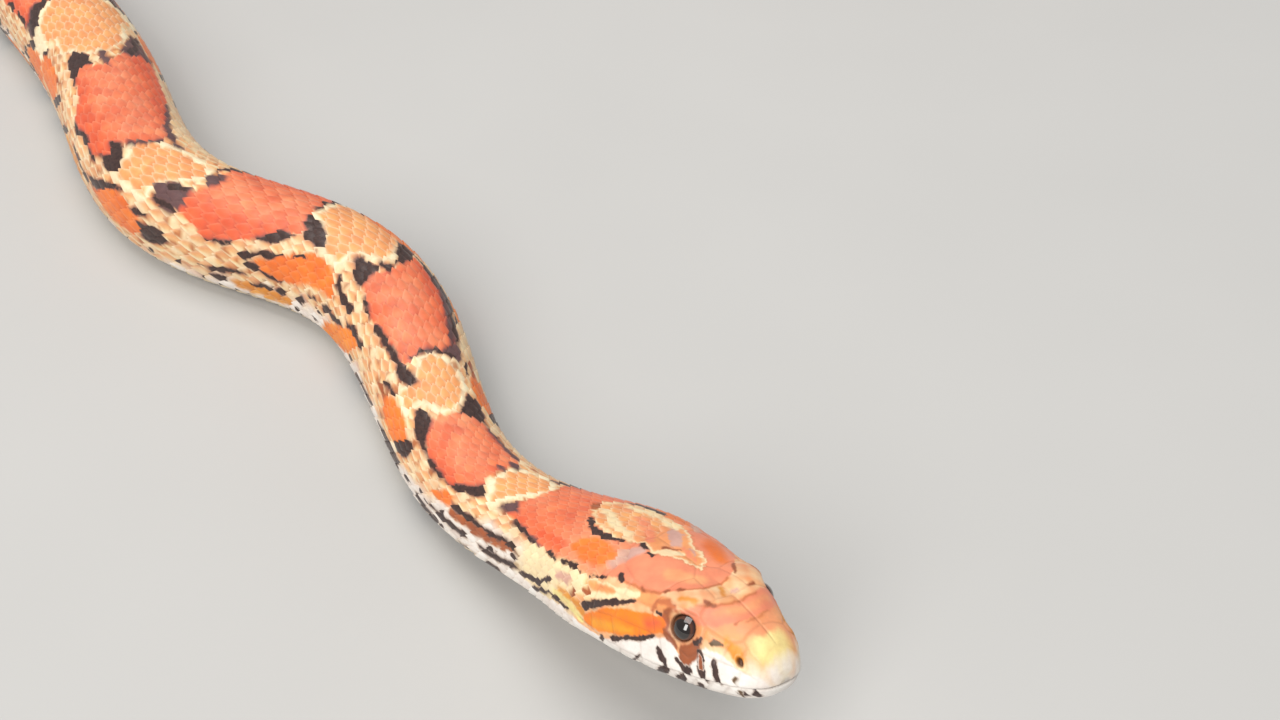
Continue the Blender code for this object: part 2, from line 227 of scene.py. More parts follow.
def spine():
    """Points a step apart along the line of the belly, snout first."""
    route = np.array(ROUTE) * MM
    knots = lengths_along(route)
    smooth = natural_spline(knots, route, np.arange(0.0, knots[-1], SPINE_STEP))
    smooth[:, 2] = np.maximum(smooth[:, 2], 0.0)
    head_points = int(HEAD_REAR_AT / SPINE_STEP)
    along_head = np.linspace(0.0, 1.0, head_points)[:, None]
    straight_end = route[0] + (route[1] - route[0]) / np.linalg.norm(route[1] - route[0]) * HEAD_REAR_AT
    straight = route[0] * (1 - along_head) + straight_end * along_head
    keep = knots[1] + HEAD_JOINS_WITHIN
    rest = smooth[int(keep / SPINE_STEP):]
    spare = 3 * SPINE_SOFTNESS
    line = evenly_spaced(np.concatenate((straight, rest)), SPINE_STEP, TOTAL_LENGTH + spare)
    line = softened(line, SPINE_STEP, SPINE_SOFTNESS)
    line = evenly_spaced(line, SPINE_STEP, TOTAL_LENGTH)
    line[:, 2] = np.where(line[:, 2] < 0.05 * MM, 0.0, line[:, 2])
    return line


SPINE = spine()
SPINE_AT = np.arange(len(SPINE)) * SPINE_STEP
TANGENTS = np.gradient(SPINE, axis=0)
TANGENTS /= np.linalg.norm(TANGENTS, axis=1)[:, None]


def frame_at(at):
    """The point of the belly line, the way back along it, and the snake's left and up there."""
    here = np.array([np.interp(at, SPINE_AT, SPINE[:, k]) for k in range(3)])
    back = np.array([np.interp(at, SPINE_AT, TANGENTS[:, k]) for k in range(3)])
    back /= np.linalg.norm(back)
    up = np.array((0.0, 0.0, 1.0)) - back[2] * back
    up /= np.linalg.norm(up)
    left = np.cross(back, up)
    ease = min(max((ROLL_ENDS_AT - at) / (ROLL_ENDS_AT - HEAD_REAR_AT), 0.0), 1.0)
    roll = HEAD_ROLL * ease * ease * (3 - 2 * ease)
    turned_left = left * math.cos(roll) + up * math.sin(roll)
    turned_up = up * math.cos(roll) - left * math.sin(roll)
    return here, back, turned_left, turned_up


def head_relief(at, across, height):
    """How far the head's surface stands out from its plain section at each point of an outline."""
    spread = np.zeros(len(across))
    for place, level, amount, along, upwards in RELIEF:
        fade = ((at / MM - place) / along) ** 2 + ((height / MM - level) / upwards) ** 2
        spread += amount * np.exp(-fade)
    sideways = np.clip(np.abs(across) / (2 * MM), 0.0, 1.0)
    spread *= sideways
    above_mouth = (height / MM - eased(MOUTH_LINE, at / MM)[0][0]) / LIP_HEIGHT
    lip = LIP_OVERHANG * np.tanh(2 * above_mouth) * np.exp(-above_mouth ** 2)
    closes = np.clip((MOUTH_CORNER_AT - at) / (4 * MM), 0.0, 1.0)
    return (spread + lip * closes) * MM


def section(at, sides):
    """The outline of the snake across one place, top first: (left, up) pairs, evenly spaced."""
    half_width, top, bottom = eased(GIRTH, at / MM)[0] * MM
    square_up, square_down = eased(SQUARENESS, at / MM)[0]
    middle = bottom + (top - bottom) * WIDEST_LEVEL
    turn = np.linspace(0.0, 2 * math.pi, OUTLINE_SIDES + 1)
    sine, cosine = np.sin(turn), np.cos(turn)
    power = np.where(cosine >= 0, 2 / square_up, 2 / square_down)
    across = half_width * np.sign(sine) * np.abs(sine) ** power
    reach = np.where(cosine >= 0, top - middle, (middle - bottom) * BELLY_FLATTENING)
    height = middle + reach * np.sign(cosine) * np.abs(cosine) ** power
    if at < HEAD_REAR_AT:
        spread = head_relief(at, across, height)
        reach = np.hypot(across, height - middle)
        across = across * (1 + spread / reach)
        height = middle + (height - middle) * (1 + spread / reach)
    height = np.maximum(height, bottom)
    outline = np.stack((across, height), axis=1)
    along = lengths_along(outline)
    wanted = np.arange(sides) / sides * along[-1]
    points = np.stack([np.interp(wanted, along, outline[:, k]) for k in range(2)], axis=1)
    return points, along[-1] / 2


def in_head(at, left_of_middle, height):
    """A point given along, across and above the head's underside line."""
    here, _, left, up = frame_at(at)
    return here + left * left_of_middle + up * height


def middle_of(node):
    low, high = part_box(node)
    return np.array((low + high) / 2)


# From the route's own zero to the model's
SHIFT = middle_of("eye_left") - in_head(EYE_AT, EYE_FROM_MIDDLE, EYE_HEIGHT)


def ring(at, sides):
    """The points round one place of the skin, and half the way round it in millimetres."""
    here, _, left, up = frame_at(at)
    outline, half = section(at, sides)
    return here + outline[:, :1] * left + outline[:, 1:] * up + SHIFT, half / MM


def outward(points):
    """The outward normals of a table of rings."""
    along = np.gradient(points, axis=0)
    around = np.roll(points, -1, axis=1) - np.roll(points, 1, axis=1)
    normals = np.cross(around, along)
    return normals / np.maximum(np.linalg.norm(normals, axis=2, keepdims=True), 1e-12)


def skin_table():
    """The whole skin as rings of points: their places, points, normals and half way round."""
    places = np.concatenate((np.arange(0.0, 40.0, 0.25), np.arange(40.0, 1100.5, 1.0)))
    rings = [ring(min(place * MM, TOTAL_LENGTH), TABLE_SIDES) for place in places]
    points = np.array([r[0] for r in rings])
    return places, points, outward(points), np.array([r[1] for r in rings])


PLACES, SKIN_POINTS, SKIN_NORMALS, HALF_ROUND = skin_table()


def half_round(along):
    """Half the way round the snake at distances from the snout, in millimetres."""
    return np.interp(along, PLACES, HALF_ROUND)


def on_skin(along, around, lift):
    """Points at distances from the snout and round from the middle of the back, lifted off the skin."""
    shape = np.broadcast(along, around, lift).shape
    along, around, lift = (np.broadcast_to(a, shape).ravel() for a in (along, around, lift))
    along = np.clip(along, PLACES[0], PLACES[-1])
    place = np.clip(np.searchsorted(PLACES, along, side="right") - 1, 0, len(PLACES) - 2)
    onward = ((along - PLACES[place]) / (PLACES[place + 1] - PLACES[place]))[:, None]
    turn = np.mod(around / (2 * half_round(along)), 1.0) * TABLE_SIDES
    side = np.floor(turn).astype(int)
    round_on = (turn - side)[:, None]
    side, next_side = side % TABLE_SIDES, (side + 1) % TABLE_SIDES
    found = []
    for table in (SKIN_POINTS, SKIN_NORMALS):
        near = table[place, side] * (1 - round_on) + table[place, next_side] * round_on
        far = table[place + 1, side] * (1 - round_on) + table[place + 1, next_side] * round_on
        found.append(near * (1 - onward) + far * onward)
    normals = found[1] / np.maximum(np.linalg.norm(found[1], axis=1, keepdims=True), 1e-12)
    return (found[0] + normals * (lift * MM)[:, None]).reshape(shape + (3,))


def linear(colour):
    """A colour as a shader takes it, from the way it looks in daylight."""
    c = np.asarray(colour, float) / 255
    return np.where(c <= 0.04045, c / 12.92, ((c + 0.055) / 1.055) ** 2.4)


def smooth_step(low, high, value):
    """From 0 at low to 1 at high, eased at both ends."""
    t = np.clip((value - low) / (high - low), 0.0, 1.0)
    return t * t * (3 - 2 * t)


def ripple(along, around, size, seed):
    """A gentle uneven wave between about -1 and 1."""
    a, b = along / size, around / size
    wave = np.sin(1.7 * a + 0.9 * b + seed) + np.sin(-1.1 * a + 1.9 * b + 2.3 * seed)
    wave += 0.7 * np.sin(3.1 * a + 2.2 * b + 4.1 * seed) + 0.5 * np.sin(-2.7 * a + 4.3 * b + seed)
    return wave / 2.6


# Markings of the head and neck
# Distances are millimetres from the snout and round from the middle of the back, minus to the right.
# A patch is a closed outline. A stroke is a line of points, each with its half width.
SPEAR = (
    (10.1, -2.7), (9.9, -1), (10.2, 1.2), (10.7, 2.2), (12.4, 4.1), (13.8, 5.7), (15.6, 7), (18, 8),
    (21, 8.7), (25, 8.8), (30, 8.4), (36, 7), (42, 5.2), (46, 4), (46, -4.2), (42, -5.8), (36, -7.4),
    (30, -8.8), (26.3, -8.6), (24, -9), (22, -8.6), (20.3, -7.9), (18.6, -7.4), (16.6, -7.1),
    (15.2, -6.7), (13.6, -6.2), (12.6, -5.3), (11.3, -4.4),
)
NAPE = (
    (13, -0.2), (13.8, 1.2), (15.4, 1.9), (17.2, 2.1), (18.6, 3.2), (20.5, 4), (24, 4.3), (28, 4.2),
    (31, 3.6), (32.7, 1.6), (32.4, 0.2), (31.2, -1.2), (29, -2.6), (26, -3.4), (23.5, -3.5), (22, -2.7),
    (20.2, -2.1), (18.4, -2.7), (17, -1.5), (15.4, -0.9),
)
LIPS = (
    (-1, -2.6), (0.6, -3.6), (1.6, -4.9), (2.9, -5.5), (4.4, -5.8), (5.4, -6.2), (6.4, -7), (7.2, -8.3),
    (7.7, -9.9), (8.8, -10.6), (9.8, -9.9), (11, -10.1), (12.4, -10.7), (14.2, -12), (16.2, -13.1),
    (18.3, -14.6), (21, -15.7), (23.5, -15.6), (27, -14.4), (32, -13.8), (38, -12.3), (46, -11.8),
    (60, -12.4), (60, -30), (-1, -30),
)
HEAD_MARKS = (
    # paint, both sides, softness, strokes
    ("peach", 1, 0.6, ((3.2, -0.6, 0.7), (4.4, -2.2, 0.6))),
    ("tan", 1, 0.3, ((4.4, -4.3, 0.5), (6.4, -5.4, 0.6), (8.2, -6.4, 0.5))),
    ("ochre", 1, 0.5, ((3.2, -4.4, 0.75), (4.5, -4.4, 0.5))),
    ("olive", 1, 0.15, ((4.9, -4.95, 0.12), (5.6, -5.5, 0.28), (6.05, -6.1, 0.14))),
    ("umber", 0, 0.3, ((5, -2.4, 0.2), (5.3, -1.4, 0.3), (5.1, -0.6, 0.12))),
    ("salmon", 0, 0.3, ((9.4, -6.3, 0.4), (8.3, -5.3, 0.8), (7, -3.6, 1), (6.1, -1.8, 1.05),
     (5.8, 0, 1.1), (6, 2, 1.1), (6.7, 4, 1), (7.5, 5.8, 0.8), (8.6, 7.2, 0.5))),
    ("umber", 0, 0.4, ((8.9, -4.6, 0.1), (7.6, -3, 0.16), (7.1, -1.2, 0.16), (7, 0.4, 0.2),
     (7.2, 2.4, 0.12))),
    ("peach", 0, 0.9, ((7, -3.4, 0.3), (6.1, -1.4, 0.5), (5.9, 0.6, 0.5), (6.6, 3.6, 0.3))),
    ("umber", 0, 0.5, ((4.6, -1.2, 0.05), (4.5, 0.4, 0.12), (4.9, 2.2, 0.05))),
    ("brown", 0, 0.3, ((7.6, -2.9, 0.15), (8.5, -3.5, 0.28))),
    ("brown", 0, 0.4, ((8.2, 2.4, 0.12), (8.4, 3.2, 0.3))),
    ("lilac", 0, 0.5, ((8.4, 0.8, 0.2), (8.5, 0.1, 0.12))),
    ("ochre", 0, 0.6, ((8.4, -1.1, 0.2), (9.4, -0.6, 0.25))),
    ("ochre", 0, 0.5, ((9.3, -4.4, 0.35), (10.6, -5.2, 0.3))),
    ("tan", 1, 0.4, ((11.8, -6.8, 0.9), (14, -7.2, 0.8), (15.6, -7.6, 0.5))),
    ("brown", 1, 0.4, ((10.6, -6.3, 0.22), (11.2, -7.4, 0.45), (11.3, -8.8, 0.6), (10.9, -9.6, 0.4))),
    ("flame", 1, 0.22, ((11.9, -9, 0.9), (13.6, -9.8, 1.2), (16, -11, 1.4), (18.6, -12.4, 1.4),
     (20.8, -13.6, 1.1), (22.4, -14.2, 0.7))),
    ("rust", 1, 1.8, ((11.9, -8.9, 0.5), (13.2, -9.5, 0.6))),
    ("amber", 1, 0.9, ((15.4, -11.6, 0.3), (18.6, -13.1, 0.6), (21.2, -14, 0.6))),
    ("cream", 1, 0.2, ((15.5, -7.5, 0.3), (18, -8.9, 0.7), (20.5, -9.8, 1), (23, -10.4, 1),
     (26, -10.6, 1.3), (31, -10.4, 1.5), (36, -9.4, 1.8))),
    ("tan", 1, 0.4, ((18.6, -8.9, 0.3), (21, -9.6, 0.5), (23, -10, 0.4))),
    ("ochre", 1, 0.3, ((23.4, -13.4, 0.7), (25.2, -12.6, 0.5), (28, -12.2, 0.4))),
    ("straw", 1, 0.3, ((23.8, -14.6, 0.6), (26, -13.4, 0.5), (29, -12.9, 0.4))),
    ("lilac", 1, 0.3, ((26.4, -10.6, 0.6), (28.4, -10.5, 0.5))),
    ("brown", 1, 0.15, ((22.4, -10.7, 0.3), (22.9, -10.8, 0.25))),
    ("brown", 1, 0.15, ((24.7, -11.3, 0.25), (25, -12.2, 0.3))),
    ("soot", 1, 0.12, ((15.5, -8.3, 0.12), (18, -9.85, 0.30), (20, -10.95, 0.38), (22.6, -12.5, 0.46))),
    ("soot", 1, 0.12, ((12.3, -10.55, 0.12), (14.2, -11.75, 0.3), (16, -12.85, 0.16),
     (18.2, -14.35, 0.26))),
    ("soot", 1, 0.12, ((11.9, -7.9, 0.14), (12.6, -7.8, 0.1))),
    ("brown", 1, 0.25, ((7.2, -7, 0.3), (7.5, -8.4, 0.55), (8.3, -9.7, 0.8), (8.6, -10.6, 0.4))),
    ("brown", 1, 0.3, ((9.4, -9.9, 0.2), (10.4, -9.7, 0.45), (11, -9.2, 0.3))),
    ("umber", 1, 0.4, ((10.2, -6.6, 0.2), (11.6, -6.3, 0.35), (12.8, -6.9, 0.3), (13, -8, 0.25))),
    ("soot", 1, 0.15, ((7.6, -10.5, 0.22), (8.2, -11.5, 0.42), (9.2, -11.3, 0.26))),
    ("soot", 1, 0.2, ((6.9, -6.5, 0.14), (7.5, -7.6, 0.16))),
    ("soot", 1, 0.12, ((1.15, -6.2, 0.14), (1.4, -7.6, 0.22))),
    ("soot", 1, 0.12, ((2.2, -8, 0.2), (2.7, -8.8, 0.26))),
    ("olive", 1, 0.25, ((2.7, -6.5, 0.2), (2.9, -7.1, 0.2))),
    ("olive", 1, 0.15, ((2.6, -8.1, 0.14), (2.75, -9.4, 0.18))),
    ("soot", 1, 0.12, ((5.15, -7.1, 0.26), (4.95, -7.9, 0.42), (4.55, -9, 0.24))),
    ("soot", 1, 0.14, ((6.7, -7.9, 0.34), (6.4, -9.2, 0.46), (6.1, -10.3, 0.26))),
    ("brown", 1, 0.14, ((6.65, -8.2, 0.26), (6.45, -9.1, 0.32))),
    ("soot", 1, 0.12, ((6.7, -11.7, 0.24), (7.3, -13.3, 0.34))),
    ("soot", 1, 0.12, ((8.7, -12.9, 0.26), (9.4, -14.2, 0.42), (10, -15.4, 0.36))),
    ("soot", 1, 0.12, ((11.7, -11.7, 0.22), (11.2, -12.6, 0.46), (10.5, -13.2, 0.24))),
    ("soot", 1, 0.12, ((10.8, -13.7, 0.34), (11.6, -14.7, 0.5), (12.5, -15.7, 0.4))),
    ("soot", 1, 0.08, ((14.2, -13.8, 0.07), (16.2, -16.4, 0.12))),
    ("soot", 1, 0.12, ((19.8, -14.9, 0.2), (20.8, -16.2, 0.3))),
    ("soot", 1, 0.2, ((17.4, -17.4, 0.3), (18.4, -18.6, 0.4))),
    ("soot", 1, 0.2, ((4.2, -11.6, 0.2), (4.6, -12.6, 0.3))),
    ("soot", 1, 0.2, ((23.4, -17.2, 0.3), (24.6, -18.8, 0.5))),
    ("soot", 1, 0.2, ((26.2, -14.3, 0.2), (30, -13.2, 0.3), (34.4, -13.4, 0.2))),
    ("soot", 1, 0.2, ((29.6, -11.4, 0.2), (33, -12.3, 0.35), (38, -11.9, 0.25))),
)
SPEAR_MARKS = (
    ("orange", 0, 1.2, ((13.6, 3, 0.8), (16, 4.2, 1.2), (17.6, 5.4, 0.8))),
    ("orange", 1, 0.5, ((22.8, -6.3, 1.4), (25, -6.3, 1.7), (27, -6.4, 1.2))),
    ("rust", 1, 0.8, ((30, -7.4, 0.7), (36, -6.2, 0.7))),
    ("peach", 0, 0.8, ((11.6, -1.6, 0.8), (13.4, -2.8, 0.9), (14.4, -3.4, 0.9))),
    ("lilac", 0, 0.6, ((19.9, -3.2, 0.7), (20.6, -4.8, 0.95), (20.9, -6.4, 0.6))),
    ("lilac", 0, 0.4, ((20.4, 5.4, 0.5), (22, 6.6, 0.6))),
    ("umber", 0, 0.3, ((11.6, -4.6, 0.1), (10.1, -2.5, 0.14), (9.95, -1, 0.16), (10.25, 1.2, 0.18))),
    ("umber", 0, 0.3, ((13.2, -5.9, 0.2), (15, -6.7, 0.2), (18, -7.3, 0.16))),
    ("brown", 0, 0.4, ((11.4, -4.1, 0.2), (11.7, -4.3, 0.34))),
    ("brown", 0, 0.4, ((12.6, -5.1, 0.2), (13, -5.4, 0.26))),
    ("brown", 0, 0.4, ((15.2, -6.8, 0.3), (15.6, -6.6, 0.2))),
    ("soot", 0, 0.2, ((18.4, -7.4, 0.3), (18.9, -7.1, 0.35))),
    ("brown", 0, 0.25, ((10.5, 2.5, 0.14), (11.6, 3.2, 0.3), (12.4, 3.9, 0.2))),
    ("brown", 0, 0.3, ((15.4, 7.2, 0.2), (18, 8, 0.25))),
    ("soot", 1, 0.18, ((20.6, -8.1, 0.1), (21.6, -8.6, 0.16), (23, -9, 0.06))),
    ("soot", 1, 0.18, ((24.2, -9.2, 0.1), (25.4, -9, 0.22), (26.8, -8.9, 0.24), (28.4, -9, 0.08))),
    ("soot", 1, 0.18, ((29.6, -8.9, 0.1), (31, -8.6, 0.2), (32.8, -8.2, 0.1))),
    ("plum", 1, 0.3, ((34, -8, 0.2), (36, -7.4, 0.35), (40, -6.4, 0.5))),
    ("soot", 1, 0.18, ((34.6, -7.9, 0.1), (37, -7.2, 0.2), (40, -6.4, 0.35))),
)
NAPE_MARKS = (
    ("lilac", 0, 0.5, ((18.4, 0.7, 0.6), (19.8, 1.8, 0.9), (21, 2.4, 0.6))),
    ("salmon", 0, 0.5, ((20.6, -1.2, 0.4), (23, 0.2, 0.8), (26, 1.6, 0.5))),
    ("salmon", 0, 0.4, ((14.8, 0.3, 0.2), (16.4, 0.6, 0.3), (17.4, 0.9, 0.2))),
    ("lilac", 0, 0.4, ((15.4, 1, 0.1), (16.6, 1.4, 0.22))),
    ("cream", 0, 0.4, ((16.6, -0.2, 0.35), (17.8, -1.2, 0.5), (18.2, -2, 0.4))),
    ("cream", 0, 0.5, ((23, -2.3, 0.5), (26.5, -1.6, 0.7), (30.5, 0.2, 0.6))),
    ("cream", 0, 0.5, ((21.5, 3.2, 0.5), (25.5, 3.4, 0.5), (29, 3, 0.5))),
    ("brown", 0, 0.25, ((17.2, 0.3, 0.15), (18.6, -0.9, 0.22))),
    ("soot", 0, 0.18, ((18.3, -2.85, 0.2), (18.7, -2.8, 0.3))),
    ("soot", 0, 0.2, ((19.7, -2.5, 0.25), (20.6, -2.4, 0.28))),
    ("soot", 0, 0.18, ((22.9, -3.5, 0.2), (25.2, -4.1, 0.42), (27, -4, 0.4), (28.4, -3.4, 0.35),
     (30.2, -2.3, 0.15))),
    ("soot", 0, 0.25, ((25.4, 4.7, 0.4), (28, 5, 0.6), (30.4, 4.2, 0.3))),
    ("brown", 0, 0.25, ((32.2, 0, 0.4), (32.9, 0.8, 0.35))),
)


def inside(along, around, outline):
    """How far each place lies inside a closed outline, minus outside."""
    corners = np.array(outline, float)
    following = np.roll(corners, -1, axis=0)
    nearest = np.full(along.shape, 1e9)
    within = np.zeros(along.shape, bool)
    for (s0, t0), (s1, t1) in zip(corners, following):
        run_s, run_t = s1 - s0, t1 - t0
        share = ((along - s0) * run_s + (around - t0) * run_t) / (run_s ** 2 + run_t ** 2)
        share = np.clip(share, 0.0, 1.0)
        nearest = np.minimum(nearest, np.hypot(along - s0 - share * run_s, around - t0 - share * run_t))
        spans = (t0 > around) != (t1 > around)
        if t1 != t0:
            crossing = s0 + (around - t0) / (t1 - t0) * run_s
            within ^= spans & (along < crossing)
    return np.where(within, nearest, -nearest)


def within_stroke(along, around, stroke):
    """How far each place lies inside a stroke, minus outside."""
    best = np.full(along.shape, -1e9)
    for (s0, t0, w0), (s1, t1, w1) in zip(stroke, stroke[1:]):
        run_s, run_t = s1 - s0, t1 - t0
        share = ((along - s0) * run_s + (around - t0) * run_t) / max(run_s ** 2 + run_t ** 2, 1e-9)
        share = np.clip(share, 0.0, 1.0)
        away = np.hypot(along - s0 - share * run_s, around - t0 - share * run_t)
        best = np.maximum(best, w0 + (w1 - w0) * share - away)
    return best


def plain(paint, count):
    """For each place: red, green, blue, darkness, paleness of the border and depth inside a black mark."""
    colour, dark, rim = PAINTS[paint]
    return np.tile(np.concatenate((linear(colour), (dark, rim, 0.0))), (count, 1))


def lay(colours, paint, cover):
    """Paint over the colours as far as cover says."""
    colours += (plain(paint, 1) - colours) * np.clip(cover, 0.0, 1.0)[:, None]


def blacken(colours, depth):
    """Keep how deep each place lies inside a black mark: 0.5 on its border, 1 from 0.5 mm inside."""
    colours[:, 5] = np.maximum(colours[:, 5], np.clip(0.5 + depth, 0.0, 1.0))


def near(along, around, shape, margin):
    """Which places lie near a patch or stroke."""
    points = np.array([corner[:2] for corner in shape])
    low, high = points.min(axis=0) - margin, points.max(axis=0) + margin
    return (along > low[0]) & (along < high[0]) & (around > low[1]) & (around < high[1])


def lay_shape(colours, along, around, shape, paint, softness, grow=0.0):
    """Paint a closed outline of (along, around), or a stroke where its points have half widths too."""
    here = near(along, around, shape, 2.5)
    if not here.any():
        return
    depth = (within_stroke if len(shape[0]) == 3 else inside)(along[here], around[here], shape) + grow
    part = colours[here]
    if paint == "soot":
        blacken(part, depth)
    else:
        lay(part, paint, smooth_step(-softness / 2, softness / 2, depth))
    colours[here] = part


def lay_marks(colours, along, around, marks):
    """Paint a table of marks in its order, on both sides where the table says so."""
    for paint, both, softness, shape in marks:
        lay_shape(colours, along, around, shape, paint, softness)
        if both:
            lay_shape(colours, along, -around, shape, paint, softness)


def head_colours(along, around):
    """The markings of the head and the front of the neck."""
    s = along + 0.10 * ripple(along, around, 0.55, 1.0) + 0.05 * ripple(along, around, 0.2, 5.0)
    t = around + 0.10 * ripple(along, around, 0.55, 2.0) + 0.05 * ripple(along, around, 0.2, 7.0)
    colours = plain("tan", len(along))
    lay(colours, "peach", 0.5 + 0.5 * ripple(along, around, 1.4, 3.0))
    lay(colours, "cream", smooth_step(6.5, 8.5, s) * (0.35 + 0.3 * ripple(along, around, 0.9, 4.0)))
    for side in (1, -1):
        lay(colours, "cream", smooth_step(-1.4, 0.2, inside(s, side * t, LIPS)) * smooth_step(9.0, 5.0, s))
        lay(colours, "cream", smooth_step(24.0, 26.0, s) * smooth_step(8.6, 9.0, side * -t))
        lay(colours, "white", smooth_step(-0.12, 0.12, inside(s, side * t, LIPS)))
    lay(colours, "straw", smooth_step(2.7, 0.9, np.hypot(s - 1.5, 0.75 * (t + 0.5))) * 0.95)
    lay(colours, "white", smooth_step(1.0, 0.1, s) * (0.7 + 0.2 * ripple(along, around, 0.7, 3.0)))
    lay(colours, "white", smooth_step(2.6, 0.6, s) * smooth_step(2.4, 4.4, np.abs(t)) * 0.7)
    lay_marks(colours, s, t, HEAD_MARKS)
    spear = smooth_step(-0.12, 0.12, inside(s, t, SPEAR))
    lay(colours, "salmon", spear)
    lay(colours, "rust", spear * smooth_step(26.0, 34.0, s) * 0.7)
    lay_marks(colours, s, t, SPEAR_MARKS)
    s = s + 0.22 * ripple(along, around, 0.42, 11.0)
    t = t + 0.22 * ripple(along, around, 0.42, 13.0)
    depth = inside(s, t, NAPE)
    nape = smooth_step(-0.12, 0.12, depth)
    lay(colours, "umber", smooth_step(-0.34, -0.1, depth) * 0.5)
    lay(colours, "cream", nape)
    lay(colours, "tan", nape * smooth_step(0.1, 0.6, depth))
    mottle = 0.3 + 0.5 * ripple(along, around, 1.1, 6.0)
    lay(colours, "peach", nape * mottle * smooth_step(0.2, 0.8, depth))
    lay_marks(colours, s, t, NAPE_MARKS)
    return colours


# Markings of the body
RED_SADDLES = (
    ((24, -9), (28, -8.6), (32, -8.1), (35, -7.4), (37, -6.6), (40, -6.1), (43, -5.3), (44.4, -4.8),
     (42.5, -3.5), (41.5, -2), (40.8, 0), (41, 3), (40, 6.4), (33, 7.6), (27, 8.6), (24, 8.8)),
    ((50.3, 0.8), (50.5, 2.2), (52, 3), (55, 3.3), (58, 3.7), (61, 3.9), (64, 3.6), (66.6, 2.4),
     (66.5, 0), (67, -2), (66.5, -3.6), (64, -4.5), (61, -5.5), (58, -5.9), (55, -5.9), (53, -5.2),
     (50, -3.4), (50.6, -1.6)),
    ((81, 5), (83, 5.9), (86, 6.5), (90, 7.2), (94, 7.9), (97, 8.2), (100, 7.3), (102.5, 5.5), (101.5, 4),
     (99.5, 2.5), (99, 0.5), (99.5, -1), (101, -2.5), (99, -3.6), (96, -4.6), (92, -5), (89, -4.9),
     (86, -3.6), (83, -3.3), (80, -3), (78.5, -2.2), (80.5, -1), (81.5, 0.5), (81, 2.5), (80.5, 4.2)),
    ((119, 8.6), (125, 9.4), (131, 9), (136, 7.6), (138.6, 5), (138, 1.6), (138.5, 0), (137.5, -2),
     (139.5, -4), (140.5, -6), (139, -7.8), (136.5, -9), (133.5, -10.1), (131, -9.6), (128, -9),
     (125, -7.8), (122, -6.2), (118, -4.6), (116, -4), (117.5, -2), (118.5, -0.5), (119, 2), (119, 5)),
    ((155, 3.5), (160, 5.2), (165, 7), (170, 8.2), (176, 9), (181, 9.5), (187, 9.6), (190, 8.6), (190, 5),
     (187.8, 3), (187, 1), (185.5, -0.5), (186, -1.8), (188, -3), (189, -4.6), (186, -5.6), (181, -6),
     (178, -6.8), (174.5, -8.6), (171, -9.4), (166, -8.4), (162.5, -9.2), (160, -7.8), (157.6, -6.5),
     (159.5, -5.2), (158.6, -4), (156, -1.5), (154.8, 1)),
)
LIGHT_OVALS = (
    ((41, 0.5), (42, 2), (44, 2.7), (46.5, 2.6), (48.5, 2.1), (49.7, 1), (50, 0), (49.7, -1),
     (50.2, -2.2), (49.5, -3), (48.3, -3.8), (47.6, -5.4), (46, -5.4), (45.5, -4.3), (44, -3.4),
     (42.3, -2.2), (41.2, -1.2)),
    ((66.8, 1), (68.5, 2.6), (70.5, 3.8), (73, 4.6), (76, 4.5), (78.5, 3.2), (79.8, 1.6), (80, 0.2),
     (79.8, -0.8), (78, -1.2), (76.4, -2), (75.4, -2.8), (75.4, -5.2), (70.4, -5.2), (70.6, -2.6),
     (68.8, -1.6), (67.4, -0.8)),
    ((101.2, 0.8), (101.7, 2.5), (103.5, 4.2), (106, 6.4), (108.5, 8.8), (113, 9.6), (118.5, 8.6),
     (118.5, 5), (118, 2.5), (118.4, 1), (118, -0.4), (116, -1), (114.5, -2.4), (112.5, -3),
     (111.2, -5.4), (105.8, -5.4), (105.5, -1.8), (103.5, -0.8), (102, -0.2)),
    ((139, -0.6), (139, 0.6), (140.8, 1.8), (143, 2.8), (147, 3.2), (151, 2.6), (155, 0.4), (157.3, -2),
     (157, -3), (155.5, -4), (154.8, -5.4), (154.5, -8.6), (145.8, -8.6), (146, -5.5), (144, -4),
     (141.5, -2.6)),
    ((190.2, 1), (191.5, 3), (194, 5), (198, 6.4), (204, 6.8), (212, 5), (215, 1), (212.5, -3), (208, -6),
     (203, -6.6), (196, -6.6), (194.5, -4.4), (191.5, -3), (190.5, -1)),
)
